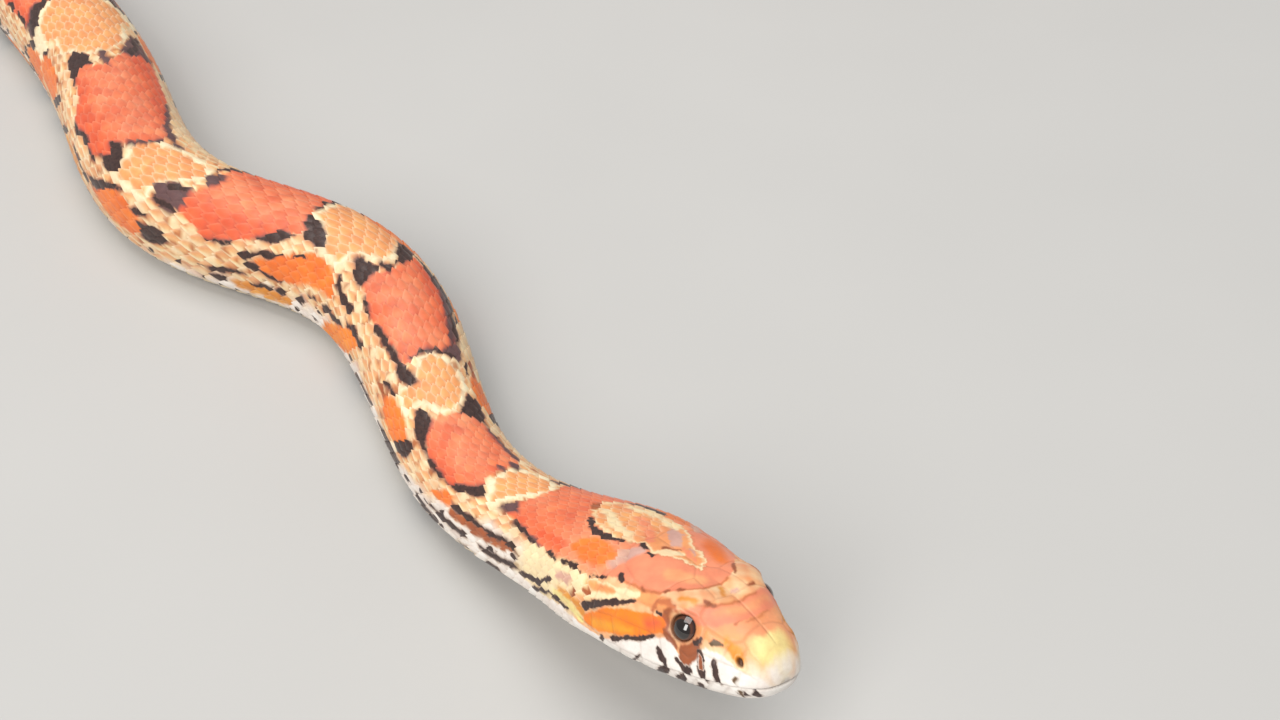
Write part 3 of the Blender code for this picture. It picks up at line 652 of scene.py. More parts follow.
# paint, both sides, softness, outline or stroke
BODY_MARKS = (
    # black corners and edges of the saddles
    ("plum", 0, 0.4, ((42.6, -3.4), (45, -4.4), (45.2, -5), (43, -5.3), (41.2, -4.6))),
    ("soot", 0, 0.3, ((40.6, 5.6, 0.5), (42.4, 3.4, 0.6), (43.6, 2.9, 0.3))),
    ("soot", 0, 0.2, ((35, -7.5, 0.25), (38, -6.7, 0.3), (41, -6.1, 0.2))),
    ("soot", 0, 0.25, ((48.2, -4.2), (50.2, -3.6), (51.6, -4.4), (53.4, -5.4), (50.5, -5.4),
     (48.4, -4.8))),
    ("soot", 0, 0.2, ((52.6, -5.5, 0.34), (54.4, -5.9, 0.22), (56, -6.1, 0.08))),
    ("soot", 0, 0.2, ((56.6, -6, 0.12), (58.6, -5.9, 0.26), (60.6, -5.5, 0.18), (62.4, -5.3, 0.1))),
    ("soot", 0, 0.2, ((62.8, -5.3, 0.12), (64.6, -4.7, 0.3))),
    ("soot", 0, 0.25, ((63.8, -4.8), (65.6, -3.3), (67, -2.1), (68.8, -2.5), (70.2, -3.4), (69, -4.3),
     (66.4, -4.9), (64.6, -5.4))),
    ("plum", 0, 0.3, ((49.4, 1.5, 0.35), (51, 1.9, 0.4))),
    ("plum", 0, 0.3, ((50.2, 0, 0.2), (51.6, -0.1, 0.2))),
    ("soot", 0, 0.3, ((62.6, 4.3), (64.6, 3.2), (66.4, 1.6), (67.6, 2.4), (70.4, 4.2), (69.6, 5.4),
     (66.4, 5))),
    ("plum", 0, 0.2, ((52, 3.2, 0.2), (57, 3.9, 0.28), (62, 4.1, 0.22))),
    ("soot", 0, 0.25, ((74.9, -2.1), (77, -2.1), (78.6, -2.8), (79.8, -3.9), (77, -4.1), (75.4, -3.1))),
    ("soot", 0, 0.2, ((80.6, -3.7, 0.1), (83, -3.9, 0.34), (86, -4.2, 0.46), (88.6, -4.8, 0.3))),
    ("soot", 0, 0.2, ((91, -5.1, 0.12), (93, -5.1, 0.2), (96, -4.7, 0.12))),
    ("soot", 0, 0.35, ((98, -4.5), (98.8, -3.3), (99.6, -2), (101.2, -1.2), (103.8, -1.5), (104.8, -2.5),
     (102.6, -3.8), (99.6, -4.6))),
    ("soot", 0, 0.25, ((101, -1.8, 0.4), (100.5, -0.8, 0.5), (100.6, 0.1, 0.25), (100.1, 0.9, 0.45))),
    ("soot", 0, 0.2, ((98.2, 0.7, 0.12), (101.2, 0.2, 0.4))),
    ("soot", 0, 0.2, ((99.6, 1.4, 0.1), (100.6, 3.1, 0.5), (102.4, 4.4, 1.1), (104.6, 6.6, 1.4),
     (106.6, 9, 1.1))),
    ("plum", 0, 0.3, ((78.4, 3.7), (80.4, 2.8), (81.9, 4.4), (82.4, 6.2), (80.4, 6.2), (78.6, 5.2))),
    ("plum", 0, 0.25, ((80.5, 2.4, 0.2), (81.1, 1, 0.3), (80.7, -0.4, 0.2))),
    ("plum", 0, 0.5, ((82, 5, 0.3), (87, 6.1, 0.4), (91, 6.9, 0.4), (95, 7.6, 0.5), (99.6, 7, 0.5))),
    ("soot", 0, 0.25, ((83, 6.2, 0.3), (87, 6.9, 0.35), (91, 7.7, 0.3), (95, 8.4, 0.35), (99, 8.2, 0.4))),
    ("soot", 0, 0.2, ((80, -1.6, 0.25), (80.9, 0.6, 0.2), (80.3, 2.4, 0.3), (79.6, 4, 0.5))),
    ("soot", 0, 0.2, ((78.6, -3.4, 0.5), (81, -3.7, 0.4), (84, -4, 0.4))),
    ("soot", 0, 0.25, ((112.6, -2.8), (116, -1.1), (118.8, -0.6), (118, -2), (116.6, -3), (115.6, -4.8),
     (113, -5), (111.4, -4.5))),
    ("soot", 0, 0.25, ((117.6, -5.1), (121, -5.4), (123, -6.4), (125.2, -7.8), (122, -7.6), (119, -6.4))),
    ("soot", 0, 0.2, ((118.6, 1.2, 0.15), (118.9, 4, 0.35), (119.2, 7.6, 0.6))),
    ("plum", 0, 0.3, ((135.8, 0.2), (137.3, 1.9), (139.5, 1.2), (139, -1), (137, -1.8))),
    ("plum", 0, 0.35, ((139.6, -3.6), (142, -3.2), (145.7, -5.2), (144.9, -7.8), (141, -8.4),
     (139.1, -6.6))),
    ("soot", 0, 0.2, ((140.2, -4, 0.3), (142.4, -4.4, 0.6), (143.6, -4.8, 0.3))),
    ("soot", 0, 0.2, ((139.6, -8, 0.2), (141.6, -7.6, 0.5), (144.6, -7.4, 0.5))),
    ("soot", 0, 0.2, ((128.6, -9.4, 0.2), (131, -9.9, 0.3), (133.4, -10.3, 0.2))),
    ("soot", 0, 0.3, ((136, 7.4, 0.5), (138.6, 4.6, 0.8), (139.6, 2.2, 0.3))),
    ("soot", 0, 0.25, ((156.4, -4.3), (158.8, -4), (160.8, -5.4), (158.2, -5.7), (157.8, -6.5),
     (160.6, -7.9), (156.5, -8.4), (154.7, -7.6), (155, -5.2))),
    ("soot", 0, 0.2, ((161.8, -9.4, 0.3), (165, -8.8, 0.25), (168, -8.4, 0.5), (171, -9.4, 0.5),
     (174, -9.2, 0.3))),
    ("plum", 0, 0.3, ((150.5, 3, 0.3), (155, 3.6, 0.6), (160, 4.9, 0.5), (166, 7, 0.35),
     (171, 8.3, 0.2))),
    ("plum", 0, 0.3, ((154.8, 1.6, 0.5), (155.4, -0.6, 0.5), (157.4, -2.6, 0.3))),
    ("plum", 0, 0.35, ((187, 9.8), (192, 8.8), (198.6, 8.6), (198, 7), (193, 5), (190, 3.2), (188.2, 4.8),
     (189.6, 7.4))),
    ("soot", 0, 0.3, ((189.8, 5.2, 0.6), (193, 7, 0.7), (197, 8, 0.6))),
    ("plum", 0, 0.25, ((184.6, 0.8, 0.15), (187.6, 0.4, 0.8), (190, 0.4, 0.6))),
    ("soot", 0, 0.25, ((186.8, -1.9), (190, -2.3), (194.2, -4.2), (192.5, -5.8), (188, -6.4), (182, -6.4),
     (187.6, -4.9))),
    # lines and blotches of the sides
    ("brown", 1, 0.3, ((39, -9.3, 0.4), (43, -9.25, 0.55), (48, -9.1, 0.6), (53, -8.9, 0.6))),
    ("soot", 1, 0.2, ((38, -9.8, 0.3), (40, -8.7, 0.35), (44, -8.5, 0.22), (48, -8.2, 0.3),
     (53, -7.9, 0.3))),
    ("soot", 1, 0.2, ((38, -11.2, 0.35), (42, -11.3, 0.4), (47, -11.1, 0.3))),
    ("soot", 1, 0.2, ((50, -10.7, 0.35), (54, -10.9, 0.45), (58, -10.6, 0.3))),
    ("soot", 1, 0.3, ((43.5, -13.3, 0.4), (45.5, -13.2, 0.5))),
    ("soot", 1, 0.3, ((49, -13.2, 0.5), (52, -13, 0.4))),
    # black low on the flank: partly the snake's own black checks, partly painted shadow beneath the body
    ("soot", 1, 0.3, ((57, -12.8, 0.5), (62, -12.2, 0.7))),
    ("orange", 1, 0.4, ((53.2, -6.8), (56, -7.2), (58.4, -8.7), (55.6, -8.8), (53.4, -8))),
    ("orange", 1, 0.3, ((67.4, -6.2), (71, -5.4), (74, -5.6), (76.6, -7), (75.6, -8.9), (72, -9.6),
     (69, -9.2), (66.8, -7.6))),
    ("soot", 1, 0.25, ((65.2, -6.4), (67.2, -6.6), (68.3, -7.8), (69.6, -9.4), (66.6, -9.1), (65, -7.8))),
    ("soot", 1, 0.2, ((75.2, -5.5, 0.25), (78.6, -6.3, 0.3))),
    ("brown", 1, 0.4, ((76.6, -7.2, 0.5), (79.4, -7.4, 0.5))),
    # black low on the flank: partly the snake's own black checks, partly painted shadow beneath the body
    ("soot", 1, 0.3, ((67.5, -11), (72, -10.6), (76.5, -12), (75, -13.8), (69, -13.4))),
    ("soot", 1, 0.3, ((81, -12.4, 0.4), (86, -13.6, 0.7), (90, -15, 0.4))),
    ("flame", 1, 0.3, ((89.4, -9.3), (92, -9.1), (94.5, -9.6), (97, -11), (101, -12.8), (104.5, -14.4),
     (107, -17.4), (101, -17), (96, -15), (92, -12.6))),
    ("soot", 1, 0.2, ((88.4, -8.6, 0.35), (92, -8.7, 0.45), (95.4, -9.3, 0.3))),
    ("soot", 1, 0.2, ((96.8, -10.6, 0.2), (99.6, -11.5, 0.4), (102.8, -11.7, 0.2))),
    ("soot", 1, 0.2, ((95.6, -7), (98.2, -7.2), (101, -7), (104.4, -5.7), (103, -7.2), (100, -8.3),
     (96.4, -8))),
    ("orange", 1, 0.3, ((102, -8.5), (104, -7.2), (107, -6.1), (111, -5.8), (114, -6.8), (117.5, -8.2),
     (120.5, -9.6), (124.2, -11.2), (122, -12.4), (118, -12.6), (113.5, -12), (111, -10.8), (107, -10),
     (102.4, -9.6))),
    ("soot", 1, 0.2, ((112.6, -6.9, 0.15), (114.6, -7.5, 0.35), (116.4, -8.3, 0.2))),
    ("soot", 1, 0.2, ((118.2, -8.8, 0.2), (121, -9.3, 0.35), (123.6, -9.9, 0.4), (127, -11.2, 0.35))),
    ("soot", 1, 0.2, ((117.4, -12.9, 0.2), (121, -12.9, 0.35), (125.4, -12, 0.3))),
    ("soot", 1, 0.2, ((101.6, -11, 0.35), (104.6, -12.4, 0.45))),
    ("soot", 1, 0.2, ((107.4, -12, 0.3), (110, -12.5, 0.3))),
    ("soot", 1, 0.2, ((111.6, -13.6, 0.35), (113.2, -14.5, 0.35))),
    ("soot", 1, 0.2, ((116.6, -14.3, 0.35), (118.8, -14.9, 0.35))),
    ("ochre", 1, 0.5, ((117, -16.4, 0.9), (122, -16.4, 1.3), (128, -16.6, 1))),
    ("soot", 1, 0.2, ((120.4, -15, 0.3), (123.4, -15.4, 0.5), (125.6, -15.9, 0.2))),
    ("soot", 1, 0.2, ((126.6, -14, 0.3), (130, -14.4, 0.4), (133.6, -15.4, 0.3))),
    ("soot", 1, 0.2, ((130, -16.2, 0.3), (132.6, -16.8, 0.5))),
    ("orange", 1, 0.3, ((145.8, -13.4), (146.8, -11.6), (150, -10.3), (153, -9.9), (155.5, -10.5),
     (158, -12.2), (160.8, -14.4), (157, -16), (152, -16.6), (148.5, -15.8))),
    ("soot", 1, 0.2, ((141.2, -12), (144, -12.1), (146.8, -12.5), (145.4, -14), (146.4, -15.2),
     (143, -15), (140.8, -13.4))),
    ("soot", 1, 0.2, ((144.8, -10.8, 0.2), (147.8, -11.1, 0.3))),
    ("soot", 1, 0.2, ((151.3, -9.3), (155, -9.8), (158, -11.2), (162.5, -12.8), (160.4, -13.6),
     (156.5, -12), (153.5, -10.4))),
    ("brown", 1, 0.4, ((188.6, -9.4, 0.4), (192, -10, 0.6))),
    ("orange", 1, 0.4, ((189.4, -11.4), (192, -9.6), (197, -9.2), (202, -9.8), (204, -12), (201, -14.6),
     (194, -15), (190, -13.4))),
    ("soot", 1, 0.25, ((186.6, -11.4, 0.6), (188.8, -13.2, 0.8), (191.4, -15, 0.5))),
    ("soot", 1, 0.25, ((201.6, -9, 0.4), (204.6, -11, 0.6), (205, -13, 0.5))),
    ("ochre", 1, 0.4, ((166, -15), (172, -13.6), (178, -13.8), (181, -16.4), (177, -19), (169, -19))),
    ("soot", 1, 0.25, ((163.6, -14, 0.4), (166.4, -13.4, 0.5), (171, -12.6, 0.4))),
    ("soot", 1, 0.25, ((176.4, -12.6, 0.4), (181, -14, 0.7), (183, -16, 0.5))),
)
# Which row of scales the white of the flank begins at, by distance from the snout
WHITE_FROM_ROW = ((40, 9.0), (105, 9.2), (128, 10.5), (148, 12.2), (192, 12.2), (230, 10.2), (1100, 9.6))
# The markings of the head run into those of the front between the first two of these places
FRONT_STARTS_AT = 36.0
HEAD_MARKS_END_AT = 40.0
FRONT_ENDS_AT = 203.0
# Behind the front: how far apart the light saddles are, by distance from the snout
CYCLES_AFTER = ((200, 44), (300, 37), (450, 32), (650, 29), (850, 26), (925, 22), (1000, 17), (1100, 11))


def light_saddles():
    """The light saddles from the neck to the tail's end: middle, half length, middle line, half width."""
    chance = np.random.default_rng(7)
    rows = [[203.5, 13.2, 0.1, 6.2]]
    while rows[-1][0] < TOTAL_LENGTH / MM - 4:
        cycle = float(eased(CYCLES_AFTER, rows[-1][0])[0][0]) * (1 + chance.uniform(-0.07, 0.07))
        half_length = cycle * chance.uniform(0.17, 0.205)
        rows.append([rows[-1][0] + cycle, half_length, chance.uniform(-0.5, 0.5), chance.uniform(5.2, 6.2)])
    return np.array(rows)


SADDLES = light_saddles()


def rows_at(along):
    """How many rows of scales lie on each side of the middle row, with the share of one that ends."""
    return np.interp(along, *np.array(DORSAL_ROWS, float).T)


def row_width(along):
    """The width of one row of scales in millimetres."""
    return DORSAL_SHARE * half_round(along) / (rows_at(along) + 0.5)


def side_ground(along, around, rows):
    """The plain ground of the sides: tan scales edged cream, white with dark flecks lower down."""
    colours = plain("net", len(along))
    fleck = ripple(along, around, 1.5, 4.0)
    lay(colours, "shell", smooth_step(-0.1, 0.7, fleck) * 0.7)
    lay(colours, "brown", smooth_step(0.52, 0.64, ripple(along, around, 0.8, 21.0)) * 0.7)
    level = np.interp(along, *np.array(WHITE_FROM_ROW, float).T)
    low = smooth_step(0.0, 2.2, np.abs(rows) - level + 0.8 * ripple(along, around, 2.2, 8.0))
    lay(colours, "white", low)
    row = np.abs(rows)
    dark = smooth_step(0.62, 0.74, ripple(along * 0.7, around, 0.95, 12.0)) * smooth_step(9.5, 10.5, row)
    blacken(colours, (dark * smooth_step(15.5, 14.0, row) - 0.5) * 0.8)
    return colours


def front_colours(along, around):
    """The markings of the front of the body, as far back as they were seen."""
    s = along + 0.22 * ripple(along, around, 1.0, 1.0) + 0.10 * ripple(along, around, 0.36, 6.0)
    t = around + 0.16 * ripple(along, around, 0.9, 2.0) + 0.08 * ripple(along, around, 0.36, 7.0)
    rows = around / (DORSAL_SHARE * half_round(along)) * ROWS_BESIDE_MIDDLE
    rows = rows * (1 + 0.35 * smooth_step(70.0, 40.0, along))
    colours = side_ground(along, around, rows)
    lay(colours, "cream", smooth_step(4.5, 6.0, t) * smooth_step(12.0, 10.0, t) * 0.45)
    for saddle in RED_SADDLES:
        lay_shape(colours, s, t, saddle, "rust", 0.25)
    red = smooth_step(0.05, 0.02, np.abs(colours - plain("rust", 1)).sum(axis=1))
    # Painted highlight: the red saddles lightened to salmon towards the middle of the back, where the light
    # falls
    paler = 0.6 + 0.3 * ripple(along, around, 2.6, 9.0)
    lay(colours, "salmon", red * paler * smooth_step(7.0, 2.0, np.abs(t)))
    lay(colours, "deep_rust", red * (0.12 + 0.25 * ripple(along, around, 1.2, 5.0)))
    for oval in LIGHT_OVALS:
        lay_shape(colours, s, t, oval, "shell", 0.2, grow=0.1)
        lay_shape(colours, s, t, oval, "tan", 0.5, grow=-0.65)
    for paint, both, softness, shape in BODY_MARKS:
        if paint in ("soot", "plum"):
            lay_shape(colours, s, t, shape, "plum", 0.7, 0.15)
    lay_marks(colours, s, t, BODY_MARKS)
    return colours


def rear_colours(along, around):
    """The markings behind, carried on in the same manner to the tip of the tail."""
    rows = around / (DORSAL_SHARE * half_round(along)) * ROWS_BESIDE_MIDDLE
    row = DORSAL_SHARE * half_round(along) / ROWS_BESIDE_MIDDLE
    s = along + 0.35 * ripple(along, around, 1.3, 1.0)
    r = rows + 0.30 * ripple(along, around, 1.1, 2.0)
    nearest = np.argmin(np.abs(along[:, None] - SADDLES[None, :, 0]), axis=1)
    middle, half_length, offset, half_width = SADDLES[nearest].T
    gap = np.diff(SADDLES[:, 0])
    cycle = np.where(along < middle, np.concatenate((gap[:1], gap))[nearest],
                     np.concatenate((gap, gap[-1:]))[nearest])
    colours = side_ground(along, around, rows)
    phase = (s - middle) / cycle
    across = np.abs(r - offset * 0.6)
    reach = 7.0 - 1.5 * np.abs(np.abs(phase) * 2 - 1.0) ** 2 + 0.5 * np.sin(middle * 1.7)
    depth = (reach - across) * row
    lay(colours, "rust", smooth_step(-0.15, 0.15, depth))
    # Painted highlight: the saddles lightened to salmon deep inside them, along the top of the back
    lay(colours, "salmon", smooth_step(1.0, 5.0, depth) * (0.5 + 0.3 * ripple(along, around, 2.6, 9.0)))
    lay(colours, "deep_rust", smooth_step(0.0, 0.4, depth) * (0.1 + 0.25 * ripple(along, around, 1.2, 5.0)))
    broken = ripple(along, around, 3.0, 14.0)
    blacken(colours, np.minimum(0.42 - np.abs(depth - 0.30), broken + 0.25))
    x = np.abs(s - middle) / half_length
    y = np.abs(r - offset) / half_width
    round_about = (x ** 2.7 + y ** 2.7) ** (1 / 2.7)
    outside = (round_about - 1) * np.minimum(half_length, half_width * row)
    corner = smooth_step(0.35, 0.75, y)
    width = 0.35 + 1.9 * corner + 0.5 * broken
    on_back = smooth_step(-0.9, -0.5, depth)
    fringe = smooth_step(0.25, -0.25, outside - width - 0.8 * corner)
    lay(colours, "plum", fringe * on_back * (0.4 + 0.6 * corner))
    blacken(colours, np.minimum(width - outside, depth + 0.7))
    neck_of_light = smooth_step(0.10, -0.10, x - 0.62) * smooth_step(0.3, 0.7, y)
    neck_of_light *= smooth_step(8.6, 8.0, across)
    light = np.maximum(smooth_step(0.15, -0.15, outside), neck_of_light)
    lay(colours, "shell", light)
    lay(colours, "tan", smooth_step(-0.5, -1.1, outside))
    side_x = (s - middle) / (cycle * 0.25)
    side_y = (np.abs(r) - 10.0) / 2.2
    side_out = (np.hypot(side_x, side_y) - 1) * 2.2 * row
    blacken(colours, np.minimum(0.9 - 0.5 * broken - side_out, (np.abs(side_x) - 0.45) * 3))
    lay(colours, "orange", smooth_step(0.12, -0.12, side_out))
    low_x = (np.mod((s - middle) / cycle, 1.0) - 0.5) / 0.24
    low_out = (np.hypot(low_x, (np.abs(r) - 14.0) / 2.1) - 1) * 2.1 * row
    blacken(colours, np.minimum(0.7 - 0.4 * broken - low_out, (np.abs(low_x) - 0.45) * 3))
    lay(colours, "ochre", smooth_step(0.12, -0.12, low_out))
    lay(colours, "orange", smooth_step(-0.4, -0.9, low_out))
    return colours


def dorsal_colours(along, around):
    """The markings of the back and sides at any place behind the head."""
    colours = np.zeros((len(along), 6))
    head = along < HEAD_MARKS_END_AT
    front = (along >= FRONT_STARTS_AT) & (along < FRONT_ENDS_AT)
    rear = along >= FRONT_ENDS_AT
    colours[rear] = rear_colours(along[rear], around[rear])
    colours[front] = front_colours(along[front], around[front])
    share = smooth_step(HEAD_MARKS_END_AT, FRONT_STARTS_AT, along[head])[:, None]
    colours[head] = colours[head] * (1 - share) + head_colours(along[head], around[head]) * share
    return colours


def belly_colours(along, share):
    """White scutes with dark blocks set like a chequerboard: share runs from -1 to 1 across."""
    block = np.floor(along / 7.4)
    column = np.floor((share + 1) * 3.2)
    odd = np.mod(block + column, 2) == 0
    luck = np.sin(block * 12.9898 + column * 78.233) * 43758.5453
    luck -= np.floor(luck)
    colours = plain("white", len(along))
    lay(colours, "cream", 0.15 + 0.6 * smooth_step(0.78, 0.95, np.abs(share)))
    dark = odd & (luck < 0.62) & (along > 40)
    colours[dark, 5] = 1.0
    return colours


# Plates of the head
# Seams between plates, mirrored: millimetres from the snout and round from the middle of the back
SEAMS = (
    ((1.25, 0), (8.1, 0)), ((14.1, 0), (20.9, 0)),
    ((1.3, 0), (1.15, 1.2), (0.85, 2.4), (0.8, 3.6), (0.95, 5.6)),
    ((3.7, 0), (3.55, 1.5), (3.3, 2.9)), ((1, 2.7), (2.2, 3.1), (3.3, 2.9)),
    ((0.9, 4.4), (1.9, 5.1), (3.2, 5.8), (4.6, 6.6), (6.8, 7.9), (7.9, 9.6), (9.3, 9.9), (10.8, 9.6),
     (12.1, 10.6), (13.2, 10.4), (17.7, 11.4), (21.6, 12.6), (24, 13.4)),
    ((3.3, 2.9), (4.2, 4.2), (4.6, 6.6)), ((2.6, 3.1), (2.7, 5.5)),
    ((3.3, 2.9), (4.5, 4.3), (6.9, 5.2), (7.9, 5.1)), ((6.9, 5.2), (6.8, 7.9)),
    ((8.1, 0), (8.2, 2.3), (8.1, 3.8), (7.9, 5.1)),
    ((8.2, 2.3), (10.5, 2.1), (12.3, 1.75), (14.1, 0)),
    ((7.9, 5.1), (9, 5.75), (10.6, 6), (12.2, 5.9), (13, 5.4)),
    ((12.3, 1.75), (12.9, 3.5), (13, 5.4)),
    ((13, 5.4), (14.4, 6.2), (17, 6.5), (19.6, 5.7), (21.2, 3.6), (21.4, 2), (20.9, 0)),
    ((11.2, 7.5), (13.2, 7.6)), ((12.7, 5.7), (13.2, 7.6), (12.1, 10.6)),
    ((13.2, 7.6), (17.2, 8.6), (20.8, 9.4)), ((17.1, 6.5), (17.2, 8.6), (17.7, 11.4)),
    ((20.2, 5.3), (20.8, 9.4), (21.3, 12.4)),
    ((2.4, 5.4), (2.6, 7.4)), ((5.05, 6.9), (4.6, 9.1)), ((6.7, 7.9), (6.2, 10.3)),
    ((9, 9.9), (8.4, 12.2)), ((11.6, 10.2), (11, 13.7)), ((14.4, 10.7), (14, 14.4)),
    ((18.2, 11.5), (17.9, 15.2)), ((21.6, 12.6), (21.8, 15)),
    ((1, 6), (1.5, 7.6)), ((2, 7.2), (2.9, 9.4)), ((3.6, 8.7), (4.7, 11)),
    ((5.4, 10), (6.6, 12.6)), ((7.2, 11.5), (8.4, 14.2)), ((8.9, 12.8), (10.2, 15.6)),
    ((10.9, 13.9), (12.4, 16.6)), ((14.3, 14.6), (16, 17.4)), ((17.4, 15.4), (18.8, 17.7)),
    ((20.5, 15.6), (21.6, 17.8)),
    ((1.5, 7.6), (2.9, 9.4), (4.7, 11), (6.6, 12.6), (8.4, 14.2), (10.2, 15.6), (12.4, 16.6), (16, 17.4),
     (21.6, 17.8), (25, 17.6)),
)
# Where the scales begin behind the plates: way round, and millimetres from the snout
SCALES_START = (
    (0, 20.7), (2, 21.2), (3.6, 21), (5.6, 19.6), (7.5, 20.6), (9.4, 20.9), (12.4, 21.5), (13.4, 24),
    (15.5, 25), (17.5, 25.2), (30, 25.2),
)


def seam_distance(along, around):
    """The distance of each place of the head from the nearest seam."""
    mirrored = np.abs(around)
    nearest = np.full(along.shape, 1e9)
    for line in SEAMS:
        for (s0, t0), (s1, t1) in zip(line, line[1:]):
            run_s, run_t = s1 - s0, t1 - t0
            share = ((along - s0) * run_s + (mirrored - t0) * run_t) / (run_s ** 2 + run_t ** 2)
            share = np.clip(share, 0.0, 1.0)
            away = np.hypot(along - s0 - share * run_s, mirrored - t0 - share * run_t)
            nearest = np.minimum(nearest, away)
    return nearest


def scales_start(around):
    """How far from the snout the scales begin, by the way round."""
    return np.interp(np.abs(around), *np.array(SCALES_START).T)


# Making meshes
def unselect_all():
    if bpy.context.mode != "OBJECT":
        bpy.ops.object.mode_set(mode="OBJECT")
    bpy.ops.object.select_all(action="DESELECT")


# The unwrap: the head has the lowest band of the map, and the body five strips above it
HEAD_BAND_ENDS_AT = 30.0
STRIP_LENGTH = 214.5
MAP_MARGIN = 0.004
SCALE_ON_MAP = 0.0015


def unwrapped(along, share):
    """Where a place of the skin lies on its unwrap: share runs from -1 to 1 round the snake."""
    head = along < HEAD_BAND_ENDS_AT
    strip = np.clip(np.floor((along - HEAD_BAND_ENDS_AT) / STRIP_LENGTH), 0, 4)
    u = np.where(head, along / HEAD_BAND_ENDS_AT, (along - HEAD_BAND_ENDS_AT) / STRIP_LENGTH - strip)
    band = np.where(head, 0.0, 0.34 + 0.132 * strip)
    height = np.where(head, 0.32, 0.124)
    return MAP_MARGIN + (1 - 2 * MAP_MARGIN) * u, band + MAP_MARGIN + height * (share + 1) / 2


def put_layer(mesh, name, values):
    """A named value or colour at every point of a mesh."""
    values = np.asarray(values, float)
    if values.ndim == 1:
        layer = mesh.attributes.new(name, "FLOAT", "POINT")
        layer.data.foreach_set("value", values)
    else:
        full = np.concatenate((values, np.ones((len(values), 1))), axis=1)
        layer = mesh.attributes.new(name, "FLOAT_COLOR", "POINT")
        layer.data.foreach_set("color", full.ravel())


def put_unwrap(mesh, u, v):
    """The unwrap of the skin, one place for each corner of each face."""
    corner = np.zeros(len(mesh.loops), int)
    mesh.loops.foreach_get("vertex_index", corner)
    layer = mesh.uv_layers.new(name="OFBake")
    layer.data.foreach_set("uv", np.stack((u[corner], v[corner]), axis=1).ravel())


def tube(name, rings, layers, along):
    """A closed skin through rings of points, the first and last ring drawn together to a point."""
    rows, sides = len(rings), rings.shape[1]
    unselect_all()
    bpy.ops.mesh.primitive_grid_add(x_subdivisions=sides, y_subdivisions=rows + 1, size=1)
    piece = bpy.context.object
    piece.name = piece.data.name = name
    mesh = piece.data
    ends = (rings[0].mean(axis=0), rings[-1].mean(axis=0))
    first = np.tile(ends[0], (1, sides, 1))
    last = np.tile(ends[1], (1, sides, 1))
    points = np.concatenate((first, rings, last))
    points = np.concatenate((points, points[:, :1]), axis=1)
    mesh.vertices.foreach_set("co", points.ravel())

    def spread(values):
        values = np.concatenate((values[:1], values, values[-1:]))
        values = np.concatenate((values, values[:, :1]), axis=1)
        return values.reshape((-1,) + values.shape[2:])

    for layer, values in layers.items():
        put_layer(mesh, layer, spread(values))
    share = np.tile(np.linspace(0.0, 2.0, sides + 1), rows + 2)
    share = np.where(share > 1.0, share - 2.0, share)
    places = np.repeat(np.concatenate((along[:1], along, along[-1:])), sides + 1)
    while mesh.uv_layers:
        mesh.uv_layers.remove(mesh.uv_layers[0])
    put_unwrap(mesh, *unwrapped(places, share))
    bpy.ops.object.mode_set(mode="EDIT")
    bpy.ops.mesh.select_all(action="SELECT")
    bpy.ops.mesh.remove_doubles(threshold=1e-7)
    bpy.ops.mesh.normals_make_consistent(inside=False)
    bpy.ops.object.mode_set(mode="OBJECT")
    mesh.shade_smooth()
    return piece


def joined(name, pieces):
    """Several objects made one."""
    unselect_all()
    for piece in pieces:
        piece.select_set(True)
    bpy.context.view_layer.objects.active = pieces[0]
    bpy.ops.object.join()
    pieces[0].name = pieces[0].data.name = name
    return pieces[0]


def eye_dish(points):
    """How far the head's skin sinks round each eye, and how far its rim is darkened with painted shade
    where it meets the eye.
    """
    sink = np.zeros(points.shape[:2])
    rim = np.zeros(points.shape[:2])
    for side in (1, -1):
        ball = in_head(EYE_AT, side * EYE_FROM_MIDDLE, EYE_HEIGHT) + SHIFT
        flat = points.reshape(-1, 3)
        nearest = np.argmin(np.linalg.norm(flat - ball, axis=1))
        axis = flat[nearest] - ball
        axis /= np.linalg.norm(axis)
        offset = flat - ball
        depth = offset @ axis
        from_axis = np.linalg.norm(offset - depth[:, None] * axis, axis=1) / MM
        from_axis = np.where(depth > 0, from_axis, 99.0).reshape(points.shape[:2])
        sink += 0.95 * smooth_step(1.46, 1.24, from_axis)
        sink += 0.26 * smooth_step(2.3, 1.35, from_axis)
        rim = np.maximum(rim, smooth_step(1.72, 1.45, from_axis))
        rim = np.maximum(rim, 0.3 * smooth_step(2.5, 1.6, from_axis))
    return sink, rim


def mouth_points():
    """Points close together along the line of the mouth, from one corner round the front to the other."""
    found = []
    for place in np.concatenate((np.arange(0.04, 1.0, 0.02), np.arange(1.0, 25.0, 0.08))):
        here, _, left, up = frame_at(place * MM)
        outline, _ = section(place * MM, OUTLINE_SIDES)
        right = outline[OUTLINE_SIDES // 2:]
        height = eased(MOUTH_LINE, place)[0][0] * MM
        if height < right[:, 1].min() + 0.01 * MM:
            continue
        widest = np.argmin(right[:, 0])
        order = np.argsort(right[:, 1])
        upwards = right[order]
        low = upwards[upwards[:, 1] < right[widest, 1]]
        across = np.interp(height, low[:, 1], low[:, 0])
        found.append([here + left * side * across + up * height + SHIFT for side in (-1, 1)])
    found = np.array(found)
    across_front = found[0, 0] + (found[0, 1] - found[0, 0]) * np.linspace(0, 1, 40)[:, None]
    return np.concatenate((found[::-1, 0], across_front, found[:, 1]))


